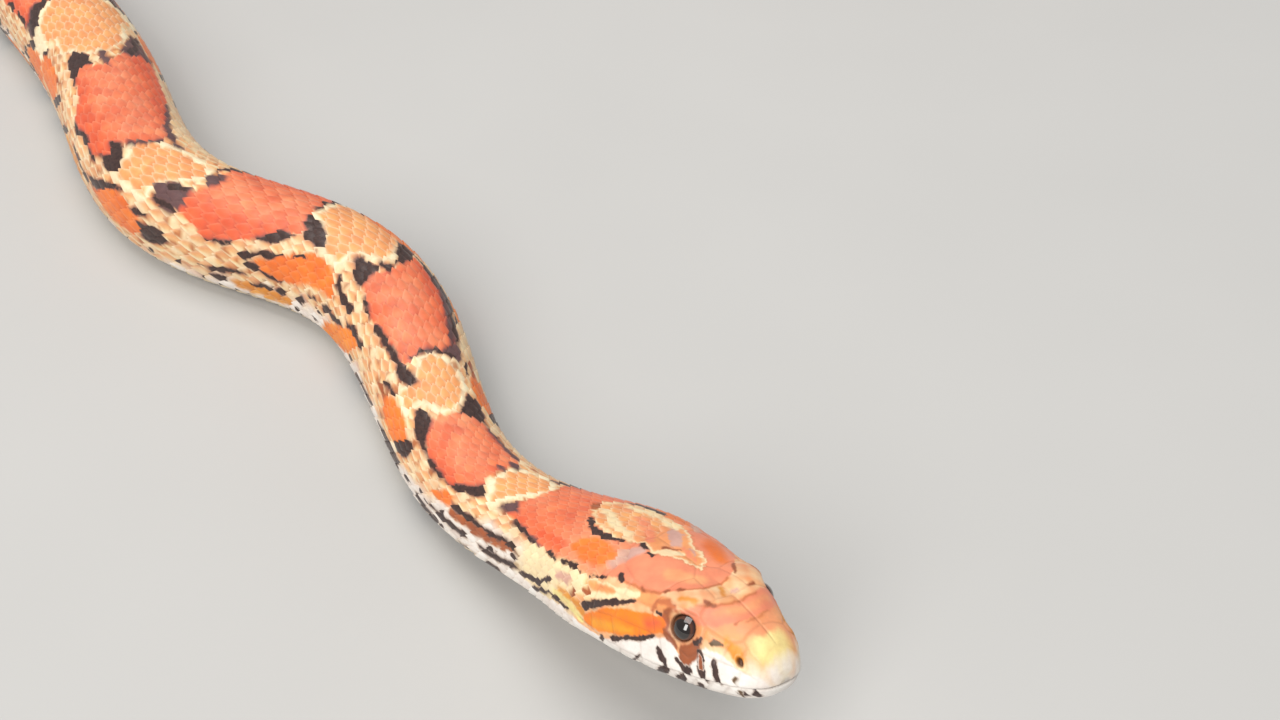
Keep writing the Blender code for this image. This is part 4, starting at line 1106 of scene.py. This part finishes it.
def head_skin():
    """The head's skin with its plates, lips, nostrils and the dishes that hold the eyes."""
    even = np.linspace(0.0, 1.0, HEAD_RINGS)
    along = HEAD_SKIN_ENDS_AT * (0.72 * even + 0.28 * even ** 2) * (1 - 0.8 * np.exp(-even * 22))
    along -= along[0]
    along *= HEAD_SKIN_ENDS_AT / along[-1]
    found = [ring(place * MM, HEAD_SIDES) for place in along]
    points = np.array([f[0] for f in found])
    halves = np.array([f[1] for f in found])
    normals = outward(points)
    share = np.arange(HEAD_SIDES) / HEAD_SIDES * 2
    share = np.where(share > 1, share - 2, share)
    around = share[None, :] * halves[:, None]
    s = np.repeat(along[:, None], HEAD_SIDES, axis=1)
    away = seam_distance(s.ravel(), around.ravel()).reshape(s.shape)
    plates = smooth_step(22.6, 21.4, s) * (0.3 + 0.7 * smooth_step(1.0, 3.0, s))
    groove = np.exp(-(away / SEAM_REACH) ** 2) * plates
    lift = -SEAM_DEPTH * groove + PLATE_CROWN * (1 - np.exp(-(away / 0.7) ** 2)) * plates
    line = mouth_points()
    from_mouth = [np.linalg.norm(row[:, None] - line, axis=2).min(axis=1) for row in points]
    from_mouth = np.array(from_mouth) / MM
    mouth = np.exp(-(from_mouth / MOUTH_REACH) ** 2) * smooth_step(24.6, 23.6, s)
    lift -= MOUTH_DEPTH * mouth
    from_nostril = np.hypot((s - NOSTRIL_AT) / 0.85, np.abs(around) - NOSTRIL_ARC)
    nostril = smooth_step(0.52, 0.30, from_nostril)
    lift -= NOSTRIL_DEPTH * nostril
    lift += NOSTRIL_LIP * np.exp(-((from_nostril - 0.72) / 0.2) ** 2)
    sink, rim = eye_dish(points)
    lift -= sink
    lift -= COAT_DEPTH * smooth_step(0.2, 1.5, s - scales_start(around))
    points = points + normals * (lift * MM)[:, :, None]
    marks = head_colours(s.ravel(), around.ravel())
    colours = marks[:, :3].reshape(s.shape + (3,))
    shade = 1 - 0.07 * groove - 0.75 * nostril
    colours = colours * np.clip(shade, 0.1, 1.0)[:, :, None]
    # Painted shade: the line of the mouth and the nostrils darkened towards soot
    line = np.maximum(smooth_step(0.25, 0.9, mouth), 0.9 * nostril)[:, :, None]
    colours += (linear(PAINTS["soot"][0]) - colours) * line * 0.8
    # Painted shade: the skin darkened towards dark brown round the rim of each eye
    colours += (linear(PAINTS["brown"][0]) * 0.35 - colours) * (rim * 0.9)[:, :, None]
    # This layer carries painted shade for the seams between the plates and for the rim round each eye
    layers = {"marking": colours, "seam": np.maximum(groove, 0.6 * rim), "dark": nostril * 0.8,
              "black": marks[:, 5].reshape(s.shape)}
    return tube("head_skin", points, layers, along)


def body_skin():
    """The skin under the scales from the back of the head to the tip of the tail."""
    along = np.linspace(HEAD_SKIN_ENDS_AT - BODY_SKIN_OVERLAP, TOTAL_LENGTH / MM, BODY_RINGS)
    found = [ring(place * MM, BODY_SIDES) for place in along]
    points = np.array([f[0] for f in found])
    halves = np.array([f[1] for f in found])
    share = np.arange(BODY_SIDES) / BODY_SIDES * 2
    share = np.where(share > 1, share - 2, share)
    depth = np.minimum(COAT_DEPTH, 0.35 * halves)
    points = points - outward(points) * (depth * MM)[:, None, None]
    around = share[None, :] * halves[:, None]
    s = np.repeat(along[:, None], BODY_SIDES, axis=1)
    colours = dorsal_colours(s.ravel(), around.ravel())
    # The markings of the skin under the scales are darkened with painted shade
    layers = {"marking": colours[:, :3].reshape(s.shape + (3,)) * UNDER_SCALES_SHADE,
              "seam": np.zeros(s.shape), "dark": colours[:, 3].reshape(s.shape),
              "black": colours[:, 5].reshape(s.shape)}
    return tube("body_skin", points, layers, along)


def shield(across, along):
    """One flat shield of a few faces with a rim let down round it, as arrays.

    Each point has its place across from -1 to 1, along from 0 to 1 and 0 for top or 1 for below."""
    unselect_all()
    bpy.ops.mesh.primitive_grid_add(x_subdivisions=across, y_subdivisions=along, size=2)
    piece = bpy.context.object
    mesh = piece.data
    bpy.ops.object.mode_set(mode="EDIT")
    bpy.ops.mesh.select_all(action="DESELECT")
    bpy.ops.mesh.select_mode(type="EDGE")
    bpy.ops.object.mode_set(mode="OBJECT")
    for edge in mesh.edges:
        a, b = (mesh.vertices[i].co for i in edge.vertices)
        sides = abs(a.x) > 0.99 and abs(a.x - b.x) < 1e-4
        ends = abs(a.y) > 0.99 and abs(a.y - b.y) < 1e-4
        edge.select = sides or ends
    bpy.ops.object.mode_set(mode="EDIT")
    bpy.ops.mesh.extrude_region_move(TRANSFORM_OT_translate={"value": (0, 0, -1)})
    bpy.ops.mesh.edge_face_add()
    bpy.ops.mesh.select_all(action="SELECT")
    bpy.ops.mesh.normals_make_consistent(inside=False)
    bpy.ops.object.mode_set(mode="OBJECT")
    points = np.array([v.co for v in mesh.vertices])
    faces = [list(face.vertices) for face in mesh.polygons]
    bpy.data.objects.remove(piece, do_unlink=True)
    return points[:, 0], (points[:, 1] + 1) / 2, -points[:, 2], faces


def coat_piece(name, points, faces, layers, u, v):
    """A joined mesh of many copies of one shield."""
    count, each = points.shape[:2]
    sizes = np.tile([len(f) for f in faces], count)
    one = np.concatenate([np.array(f) for f in faces])
    corners = (one[None, :] + np.arange(count)[:, None] * each).ravel()
    mesh = bpy.data.meshes.new(name)
    mesh.vertices.add(count * each)
    mesh.vertices.foreach_set("co", points.ravel())
    mesh.loops.add(len(corners))
    mesh.loops.foreach_set("vertex_index", corners)
    mesh.polygons.add(len(sizes))
    starts = np.concatenate(([0], np.cumsum(sizes)[:-1]))
    mesh.polygons.foreach_set("loop_start", starts)
    mesh.update(calc_edges=True)
    for layer, values in layers.items():
        put_layer(mesh, layer, values.reshape((count * each,) + values.shape[2:]))
    put_unwrap(mesh, u.ravel(), v.ravel())
    mesh.shade_smooth()
    mesh.set_sharp_from_angle(angle=math.radians(50))
    piece = bpy.data.objects.new(name, mesh)
    bpy.context.scene.collection.objects.link(piece)
    return piece


def pitch_at(along):
    """How far apart the rings of scales are."""
    return np.interp(along, *np.array(SCALE_PITCH, float).T)


def stations(start):
    """Places of the rings of scales, a pitch apart."""
    places = [start]
    while places[-1] < TOTAL_LENGTH / MM - 2.2:
        places.append(places[-1] + float(pitch_at(places[-1])))
    return np.array(places)


def scale_places():
    """Root, side and size of every scale of the back and sides."""
    root, around, rows, pitches = [], [], [], []
    for place in stations(SCALES_START_AT):
        pitch = float(pitch_at(place))
        number = int(rows_at(place) + 0.2)
        throat = 7 if place < 27.5 else 0
        for row in range(-number - throat, number + throat + 1):
            at = place + (0.5 * pitch if row % 2 else 0.0)
            if at > TOTAL_LENGTH / MM - 1.5:
                continue
            width = float(row_width(at))
            side = row * width
            if abs(side) > float(half_round(at)) - 0.4 * width:
                continue
            if at < float(scales_start(np.array(side))) - 0.45 * pitch:
                continue
            root.append(at)
            around.append(side)
            rows.append(row)
            pitches.append(pitch)
    return tuple(np.array(a, float) for a in (root, around, rows, pitches))


# The outline of one scale: place along it, half width there
SCALE_OUTLINE = ((0.0, 0.45), (0.2, 0.80), (0.4, 1.0), (0.6, 0.84), (0.8, 0.46), (1.0, 0.06))
# How far across its scale a marking is read: 0 gives each scale one colour, 1 the whole marking
MARK_SPREAD = 0.66


def dorsal_scales():
    """All the scales of the back and sides, in joined pieces."""
    root, around, rows, pitch = scale_places()
    chance = np.random.default_rng(11)
    count = len(root)
    q, p, below, faces = shield(4, 5)
    width = row_width(root) * SCALE_WIDTH * (1 + 0.06 * (chance.random(count) - 0.5))
    length = pitch * SCALE_LENGTH * (1 + 0.05 * (chance.random(count) - 0.5))
    outline = np.interp(p, *np.array(SCALE_OUTLINE).T)
    inset = 1 - 0.12 * below
    root = root + 0.06 * pitch * (chance.random(count) - 0.5)
    s = root[:, None] + length[:, None] * (0.5 + (p - 0.5) * inset)[None, :]
    t = around[:, None] + width[:, None] * (q * outline * inset)[None, :]
    body = np.minimum(1.0, pitch / 2.6)[:, None]
    small = np.minimum(1.0, half_round(root) / 9.0)[:, None]
    lift = -0.20 + 0.36 * p[None, :] ** 1.3
    lift = lift + 0.13 * ((1 - q ** 2) * np.sin(np.pi * np.minimum(p * 1.05, 1.0)))[None, :]
    keel = np.clip((8.0 - np.abs(rows)) / 4.0, 0.0, 1.0) * smooth_step(60.0, 140.0, root)
    lift = lift + 0.05 * keel[:, None] * (np.exp(-(q / 0.3) ** 2) * np.sin(np.pi * p))[None, :]
    lift = lift * body
    lift = np.where(below[None, :] > 0.5, -0.34 * body, lift) * small
    points = on_skin(s, t, lift)
    each = len(q)
    centre = (root + 0.6 * length)[:, None]
    mark_s = centre + (s - centre) * MARK_SPREAD
    mark_t = around[:, None] + (t - around[:, None]) * MARK_SPREAD
    colours = dorsal_colours(mark_s.ravel(), mark_t.ravel()).reshape(count, each, 6)
    lower = (q[None, :] * np.sign(around)[:, None]).ravel()
    flat = colours.reshape(-1, 6)
    net = smooth_step(0.9, 1.4, flat[:, 4])
    # Net scales: painted shade in umber over the half turned up the back, their own cream over the half
    # turned to the belly
    lay(flat, "umber", smooth_step(0.2, 1.0, -lower) * net * 0.7)
    lay(flat, "cream", smooth_step(-0.3, 0.6, lower) * net)
    shade = 0.5 + 0.5 * np.clip(chance.normal(0.0, 0.4, count), -1, 1)
    rim = np.maximum(np.abs(q) ** 3, (2 * np.abs(p - 0.5)) ** 5) * np.where(p > 0.3, 1.0, 0.5)
    rim = np.clip(np.maximum(rim, below)[None, :] * colours[:, :, 4], 0.0, 1.0)
    share = around / half_round(root)
    u0, v0 = unwrapped(root, np.clip(share, -1, 1))
    u = u0[:, None] + SCALE_ON_MAP * q[None, :]
    v = v0[:, None] + SCALE_ON_MAP * (2 * p - 1)[None, :]
    pieces = []
    order = np.argsort(root, kind="stable")
    for i, first in enumerate(range(0, count, SCALES_IN_A_PIECE)):
        pick = order[first:first + SCALES_IN_A_PIECE]
        layers = {
            "marking": colours[pick][:, :, :3],
            "rim": rim[pick],
            "dark": colours[pick][:, :, 3],
            "black": colours[pick][:, :, 5],
            "shade": np.repeat(shade[pick][:, None], each, axis=1),
            "back": np.tile(p, (len(pick), 1)),
        }
        pieces.append(coat_piece(f"scales_{i + 1}", points[pick], faces, layers, u[pick], v[pick]))
    return pieces


def belly_scutes():
    """The wide plates under the body, and the paired ones under the tail."""
    places = stations(SCUTES_START_AT)
    q, p, below, faces = shield(18, 3)
    pitch = pitch_at(places)
    half = half_round(places)
    split = places > VENT_AT / MM
    reach = (1 - DORSAL_SHARE) * half + 0.45 * row_width(places)
    groups = [(places[~split], pitch[~split], np.zeros((~split).sum()), reach[~split])]
    for side in (-1, 1):
        groups.append((places[split] + 0.25 * side * pitch[split], pitch[split],
                       0.5 * side * reach[split], 0.5 * reach[split] * 1.04))
    root, step, middle, wide = (np.concatenate(a) for a in zip(*groups))
    length = step * SCUTE_LENGTH
    inset = 1 - 0.06 * below
    end = 1 - 0.10 * np.abs(q) ** 6
    s = root[:, None] + length[:, None] * (0.5 + (p * end - 0.5) * inset)[None, :]
    from_middle = middle[:, None] + wide[:, None] * (q * inset)[None, :]
    t = half_round(s) - from_middle
    body = np.minimum(1.0, half_round(root) / 9.0)[:, None]
    lift = (-0.26 + 0.24 * p ** 1.2)[None, :]
    lift = np.where(below[None, :] > 0.5, -0.42, lift) * body
    points = on_skin(s, t, lift)
    share = from_middle / ((1 - DORSAL_SHARE) * half_round(root)[:, None])
    flat_s = np.repeat(root[:, None] + 0.4 * length[:, None], len(q), axis=1)
    colours = belly_colours(flat_s.ravel(), share.ravel())
    rim = np.tile(np.maximum((2 * np.abs(p - 0.5)) ** 4 * 0.6, below), (len(root), 1))
    turned = 1 - from_middle / half_round(root)[:, None]
    turned = np.where(turned > 1, turned - 2, turned)
    u0, v0 = unwrapped(np.repeat(root[:, None], len(q), axis=1), turned)
    u = u0 + SCALE_ON_MAP * (2 * p - 1)[None, :]
    shape = (len(root), len(q))
    layers = {"marking": colours[:, :3].reshape(shape + (3,)), "rim": rim * 0.3,
              "dark": colours[:, 3].reshape(shape), "black": colours[:, 5].reshape(shape),
              "shade": np.full(shape, 0.5), "back": np.tile(p, (len(root), 1))}
    return coat_piece("belly_scutes", points, faces, layers, u, v0)


# Materials


def new_group(name, inputs, outputs):
    """An empty node group with its sockets."""
    group = bpy.data.node_groups.new(name, "ShaderNodeTree")
    for label, kind, value in inputs:
        socket = group.interface.new_socket(name=label, in_out="INPUT", socket_type=kind)
        if value is not None:
            socket.default_value = value
    for label, kind in outputs:
        group.interface.new_socket(name=label, in_out="OUTPUT", socket_type=kind)
    entry = group.nodes.new("NodeGroupInput")
    leave = group.nodes.new("NodeGroupOutput")
    return group, entry, leave


def wire(tree, output, target):
    tree.links.new(output, target)


def math_node(tree, operation, first, second=None, third=None, clamp=False):
    node = tree.nodes.new("ShaderNodeMath")
    node.operation = operation
    node.use_clamp = clamp
    for socket, value in zip(node.inputs, (first, second, third)):
        if value is None:
            continue
        if isinstance(value, (int, float)):
            socket.default_value = value
        else:
            wire(tree, value, socket)
    return node.outputs[0]


def mix_colours(tree, share, first, second, blend="MIX"):
    node = tree.nodes.new("ShaderNodeMix")
    node.data_type = "RGBA"
    node.blend_type = blend
    node.clamp_factor = True
    sockets = (node.inputs["Factor"], node.inputs[6], node.inputs[7])
    for socket, value in zip(sockets, (share, first, second)):
        if isinstance(value, (int, float)):
            socket.default_value = value
        elif isinstance(value, tuple):
            socket.default_value = (*value, 1.0)
        else:
            wire(tree, value, socket)
    return node.outputs[2]


def attribute(tree, name, output="Fac"):
    node = tree.nodes.new("ShaderNodeAttribute")
    node.attribute_name = name
    return node.outputs[output]


def noise(tree, where, size, detail=3.0, roughness=0.55):
    node = tree.nodes.new("ShaderNodeTexNoise")
    node.inputs["Scale"].default_value = 1 / size
    node.inputs["Detail"].default_value = detail
    node.inputs["Roughness"].default_value = roughness
    wire(tree, where, node.inputs["Vector"])
    return node.outputs["Fac"]


def skin_grain_group():
    """Uneven colour and fine relief shared by every scale and plate of the snake."""
    group, entry, leave = new_group(
        "skin_grain",
        [("Colour", "NodeSocketColor", None), ("Dark", "NodeSocketFloat", 0.0)],
        [("Colour", "NodeSocketColor"), ("Roughness", "NodeSocketFloat"), ("Height", "NodeSocketFloat")],
    )
    place = group.nodes.new("ShaderNodeTexCoord").outputs["Object"]
    broad = noise(group, place, 0.0030, 2.0)
    fine = noise(group, place, 0.00045, 4.0, 0.65)
    pits = noise(group, place, 0.00016, 2.0, 0.6)
    lighter = mix_colours(group, 0.5, entry.outputs["Colour"], (1.0, 0.86, 0.72), "SOFT_LIGHT")
    darker = mix_colours(group, 0.30, entry.outputs["Colour"], (0.42, 0.20, 0.13), "MULTIPLY")
    broad_share = math_node(group, "MULTIPLY_ADD", broad, 1.6, -0.3)
    toned = mix_colours(group, broad_share, darker, lighter)
    fine_share = math_node(group, "MULTIPLY_ADD", fine, 2.2, -0.8)
    speckled = mix_colours(group, 0.16, toned, (0.30, 0.14, 0.10))
    speckled = mix_colours(group, fine_share, speckled, toned)
    wire(group, speckled, leave.inputs["Colour"])
    rough = math_node(group, "MULTIPLY_ADD", fine, 0.22, 0.27)
    rough = math_node(group, "ADD", rough, math_node(group, "MULTIPLY", entry.outputs["Dark"], -0.05))
    wire(group, rough, leave.inputs["Roughness"])
    pores = math_node(group, "MULTIPLY", pits, 0.4)
    height = math_node(group, "ADD", math_node(group, "MULTIPLY", fine, 0.6), pores)
    wire(group, height, leave.inputs["Height"])
    return group


def black_mark_group():
    """A black mark with a crisp uneven border, from how deep the surface lies inside it."""
    group, entry, leave = new_group(
        "black_mark",
        [("Colour", "NodeSocketColor", None), ("Depth", "NodeSocketFloat", 0.0)],
        [("Colour", "NodeSocketColor"), ("Mask", "NodeSocketFloat")],
    )
    place = group.nodes.new("ShaderNodeTexCoord").outputs["Object"]
    ragged = math_node(group, "MULTIPLY_ADD", noise(group, place, 0.0007, 3.0, 0.6), 0.5, -0.25)
    fine = noise(group, place, 0.0004, 2.0)
    level = math_node(group, "ADD", entry.outputs["Depth"], ragged)
    level = math_node(group, "SUBTRACT", level, 0.44)
    mask = math_node(group, "MULTIPLY", level, 9.0, clamp=True)
    brownish = mix_colours(group, fine, (0.011, 0.009, 0.010), (0.030, 0.022, 0.024))
    fringe = mix_colours(group, 0.55, entry.outputs["Colour"], (0.10, 0.055, 0.05))
    near_by = math_node(group, "MULTIPLY", math_node(group, "ADD", level, 0.16), 4.5, clamp=True)
    fringed = mix_colours(group, near_by, entry.outputs["Colour"], fringe)
    wire(group, mix_colours(group, mask, fringed, brownish), leave.inputs["Colour"])
    wire(group, mask, leave.inputs["Mask"])
    return group


def scale_finish_group():
    """Colour of one scale: its own shade, a paler rim on light scales and painted shade at its root, under
    the tip of the scale ahead.
    """
    group, entry, leave = new_group(
        "scale_finish",
        [("Marking", "NodeSocketColor", None), ("Rim", "NodeSocketFloat", 0.0),
         ("Shade", "NodeSocketFloat", 0.5), ("Back", "NodeSocketFloat", 0.5),
         ("Dark", "NodeSocketFloat", 0.0)],
        [("Colour", "NodeSocketColor")],
    )
    out = entry.outputs
    darker = mix_colours(group, 0.22, out["Marking"], (0.60, 0.30, 0.18), "MULTIPLY")
    lighter = mix_colours(group, 0.5, out["Marking"], (1.0, 0.80, 0.55), "SOFT_LIGHT")
    own = mix_colours(group, out["Shade"], darker, lighter)
    # Painted shade over the root of the scale, where the scale ahead covers it
    root = math_node(group, "SUBTRACT", 0.42, out["Back"])
    root = math_node(group, "MULTIPLY", root, 1.5, clamp=True)
    shaded = mix_colours(group, 0.8, out["Marking"], (0.30, 0.16, 0.12), "MULTIPLY")
    root_shaded = mix_colours(group, root, own, shaded)
    pale = mix_colours(group, 0.8, out["Marking"], (1.0, 0.83, 0.57))
    light_share = math_node(group, "SUBTRACT", 1.0, out["Dark"])
    rim_share = math_node(group, "MULTIPLY", out["Rim"], light_share)
    rimmed = mix_colours(group, math_node(group, "MULTIPLY", rim_share, 0.8), root_shaded, pale)
    wire(group, rimmed, leave.inputs["Colour"])
    return group


def principled(name):
    material = bpy.data.materials.new(name)
    material.use_nodes = True
    shader = material.node_tree.nodes["Principled BSDF"]
    return material, material.node_tree, shader


def relief(tree, height, distance, strength):
    node = tree.nodes.new("ShaderNodeBump")
    node.inputs["Distance"].default_value = distance
    node.inputs["Strength"].default_value = strength
    wire(tree, height, node.inputs["Height"])
    return node.outputs["Normal"]


def set_finish(shader, **values):
    """The numbers that are the same all over a surface, on the shader's own sockets."""
    for socket, value in values.items():
        shader.inputs[socket.replace("_", " ")].default_value = value


def place_group(tree, group):
    node = tree.nodes.new("ShaderNodeGroup")
    node.node_tree = group
    return node


def blackened(tree, black, colour):
    """The colour with the black marks over it, and where they are."""
    marks = place_group(tree, black)
    wire(tree, colour, marks.inputs["Colour"])
    wire(tree, attribute(tree, "black"), marks.inputs["Depth"])
    return marks.outputs["Colour"], marks.outputs["Mask"]


def scale_material(name, grain, finish, black):
    material, tree, shader = principled(name)
    scale = place_group(tree, finish)
    wire(tree, attribute(tree, "marking", "Color"), scale.inputs["Marking"])
    wire(tree, attribute(tree, "rim"), scale.inputs["Rim"])
    wire(tree, attribute(tree, "shade"), scale.inputs["Shade"])
    wire(tree, attribute(tree, "back"), scale.inputs["Back"])
    dark = attribute(tree, "dark")
    wire(tree, dark, scale.inputs["Dark"])
    coarse = place_group(tree, grain)
    marked, mask = blackened(tree, black, scale.outputs["Colour"])
    wire(tree, marked, coarse.inputs["Colour"])
    wire(tree, mask, coarse.inputs["Dark"])
    wire(tree, coarse.outputs["Colour"], shader.inputs["Base Color"])
    wire(tree, coarse.outputs["Roughness"], shader.inputs["Roughness"])
    wire(tree, relief(tree, coarse.outputs["Height"], 0.00005, 0.5), shader.inputs["Normal"])
    set_finish(shader, Specular_IOR_Level=0.32, Coat_Weight=0.06, Coat_Roughness=0.25)
    return material


def head_material(name, grain, black):
    material, tree, shader = principled(name)
    coarse = place_group(tree, grain)
    marked, mask = blackened(tree, black, attribute(tree, "marking", "Color"))
    wire(tree, marked, coarse.inputs["Colour"])
    wire(tree, mask, coarse.inputs["Dark"])
    # Painted shade: the colour darkened in the seams between the plates and round the rim of each eye,
    # which are also made rougher
    seam = attribute(tree, "seam")
    seam_share = math_node(tree, "MULTIPLY", seam, 0.14)
    colour = mix_colours(tree, seam_share, coarse.outputs["Colour"], (0.20, 0.09, 0.05))
    wire(tree, colour, shader.inputs["Base Color"])
    rough = math_node(tree, "ADD", coarse.outputs["Roughness"], math_node(tree, "MULTIPLY", seam, 0.2))
    wire(tree, rough, shader.inputs["Roughness"])
    wire(tree, relief(tree, coarse.outputs["Height"], 0.00005, 0.55), shader.inputs["Normal"])
    set_finish(shader, Specular_IOR_Level=0.32, Coat_Weight=0.08, Coat_Roughness=0.22)
    return material


def eye_material(name):
    material, tree, shader = principled(name)
    outwards = attribute(tree, "outwards")
    place = tree.nodes.new("ShaderNodeTexCoord").outputs["Object"]
    streaks = noise(tree, place, 0.00018, 3.0, 0.7)
    iris = tree.nodes.new("ShaderNodeValToRGB")
    ramp = iris.color_ramp
    ramp.elements[0].position = 0.0
    ramp.elements[0].color = (0.006, 0.004, 0.003, 1)
    ramp.elements[1].position = 1.0
    ramp.elements[1].color = (0.002, 0.002, 0.002, 1)
    for position, colour in ((0.58, (0.012, 0.006, 0.004)), (0.66, (0.10, 0.030, 0.012)),
                             (0.76, (0.055, 0.016, 0.008)), (0.84, (0.002, 0.002, 0.002))):
        element = ramp.elements.new(position)
        element.color = (*colour, 1)
    wave = math_node(tree, "SUBTRACT", streaks, 0.5)
    wavy = math_node(tree, "ADD", outwards, math_node(tree, "MULTIPLY", wave, 0.06))
    wire(tree, wavy, iris.inputs["Fac"])
    wire(tree, iris.outputs["Color"], shader.inputs["Base Color"])
    wire(tree, math_node(tree, "MULTIPLY_ADD", streaks, 0.05, 0.05), shader.inputs["Roughness"])
    wire(tree, relief(tree, streaks, 0.00001, 0.15), shader.inputs["Normal"])
    set_finish(shader, Specular_IOR_Level=0.5, Coat_Weight=1.0, Coat_Roughness=0.03)
    return material


def floor_material(name):
    material, tree, shader = principled(name)
    place = tree.nodes.new("ShaderNodeTexCoord").outputs["Object"]
    cloud = noise(tree, place, 0.12, 3.0)
    colour = mix_colours(tree, cloud, (0.46, 0.452, 0.436), (0.52, 0.51, 0.493))
    wire(tree, colour, shader.inputs["Base Color"])
    wire(tree, math_node(tree, "MULTIPLY_ADD", cloud, 0.1, 0.7), shader.inputs["Roughness"])
    return material


# The pieces


def eye_piece(side, name, material):
    """A smooth ball for the eye, with its distance from the middle of the pupil kept at each point."""
    ball = in_head(EYE_AT, side * EYE_FROM_MIDDLE, EYE_HEIGHT) + SHIFT
    unselect_all()
    bpy.ops.mesh.primitive_uv_sphere_add(segments=56, ring_count=36, radius=EYE_DIAMETER / 2, location=ball)
    piece = bpy.context.object
    piece.name = piece.data.name = name
    bpy.ops.object.transform_apply(location=True, rotation=True, scale=True)
    along, around = EYE_LOOKS_AT
    surface = on_skin(np.array([along]), np.array([side * around]), np.array([0.0]))[0]
    axis = surface - ball
    axis /= np.linalg.norm(axis)
    points = np.array([v.co for v in piece.data.vertices]) - ball
    turned = points @ axis / (EYE_DIAMETER / 2)
    put_layer(piece.data, "outwards", np.sqrt(np.clip(1 - turned ** 2, 0, 1)))
    piece.data.shade_smooth()
    piece.data.materials.append(material)
    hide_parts(f"eye_{'left' if side > 0 else 'right'}")
    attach(piece, "root")
    return piece


def dress(piece, material):
    piece.data.materials.clear()
    piece.data.materials.append(material)
    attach(piece, "root")


grain = skin_grain_group()
finish = scale_finish_group()
black = black_mark_group()
scales_paint = scale_material("scale_coat", grain, finish, black)
plates_paint = head_material("head_plates", grain, black)
eye_paint = eye_material("wet_eye")

skin = joined("skin", [head_skin(), body_skin()])
dress(skin, plates_paint)
flesh = [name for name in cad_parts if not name.startswith("eye_")]
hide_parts(*sorted(flesh))
for coat in dorsal_scales():
    dress(coat, scales_paint)
dress(belly_scutes(), scales_paint)
for side, name in ((1, "left_eyeball"), (-1, "right_eyeball")):
    eye_piece(side, name, eye_paint)

# Floor, lights and camera
FLOOR_SIZE = 8.0
CAMERA_HEIGHT = 0.140
CAMERA_TILT = math.radians(50)
LENS_LENGTH = 40.0
SENSOR_WIDTH = 36.0
SKY_POWER = 13
FRONT_POWER = 15.5
WORLD_COLOUR = (0.93, 0.96, 1.0, 1.0)
WORLD_STRENGTH = 0.35

unselect_all()
bpy.ops.mesh.primitive_plane_add(size=FLOOR_SIZE, location=(0, 0, 0))
floor = bpy.context.object
floor.name = "pale_floor"
floor.data.materials.append(floor_material("pale_floor"))


def soft_light(name, place, aim, size, power, colour, height=None):
    data = bpy.data.lights.new(name, "AREA")
    data.shape = "RECTANGLE"
    data.size = size
    data.size_y = height or size
    data.energy = power
    data.color = colour
    lamp = bpy.data.objects.new(name, data)
    bpy.context.scene.collection.objects.link(lamp)
    lamp.location = place
    lamp.rotation_euler = (Vector(aim) - Vector(place)).to_track_quat("-Z", "Y").to_euler()


soft_light("sky_panel", (-0.1, 0.0, 1.3), (0.0, -0.05, 0.0), 1.1, SKY_POWER, (1.0, 0.99, 0.97))
soft_light("front_panel", (-0.55, -1.1, 0.95), (0.0, -0.15, 0.0), 0.5, FRONT_POWER, (1.0, 0.98, 0.95), 1.0)

scene = bpy.context.scene
world = bpy.data.worlds.new("studio")
scene.world = world
world.use_nodes = True
world.node_tree.nodes["Background"].inputs["Color"].default_value = WORLD_COLOUR
world.node_tree.nodes["Background"].inputs["Strength"].default_value = WORLD_STRENGTH
scene.view_settings.view_transform = "Standard"
scene.view_settings.look = "None"
scene.view_settings.exposure = 0.0

lens = bpy.data.cameras.new("photo_view")
lens.lens = LENS_LENGTH
lens.sensor_width = SENSOR_WIDTH
lens.clip_start = 0.01
lens.clip_end = 20.0
camera = bpy.data.objects.new("photo_view", lens)
scene.collection.objects.link(camera)
camera.location = Vector(SHIFT) + Vector((0.0, 0.0, CAMERA_HEIGHT))
camera.rotation_euler = (CAMERA_TILT, 0.0, 0.0)
scene.camera = camera

bpy.context.view_layer.update()
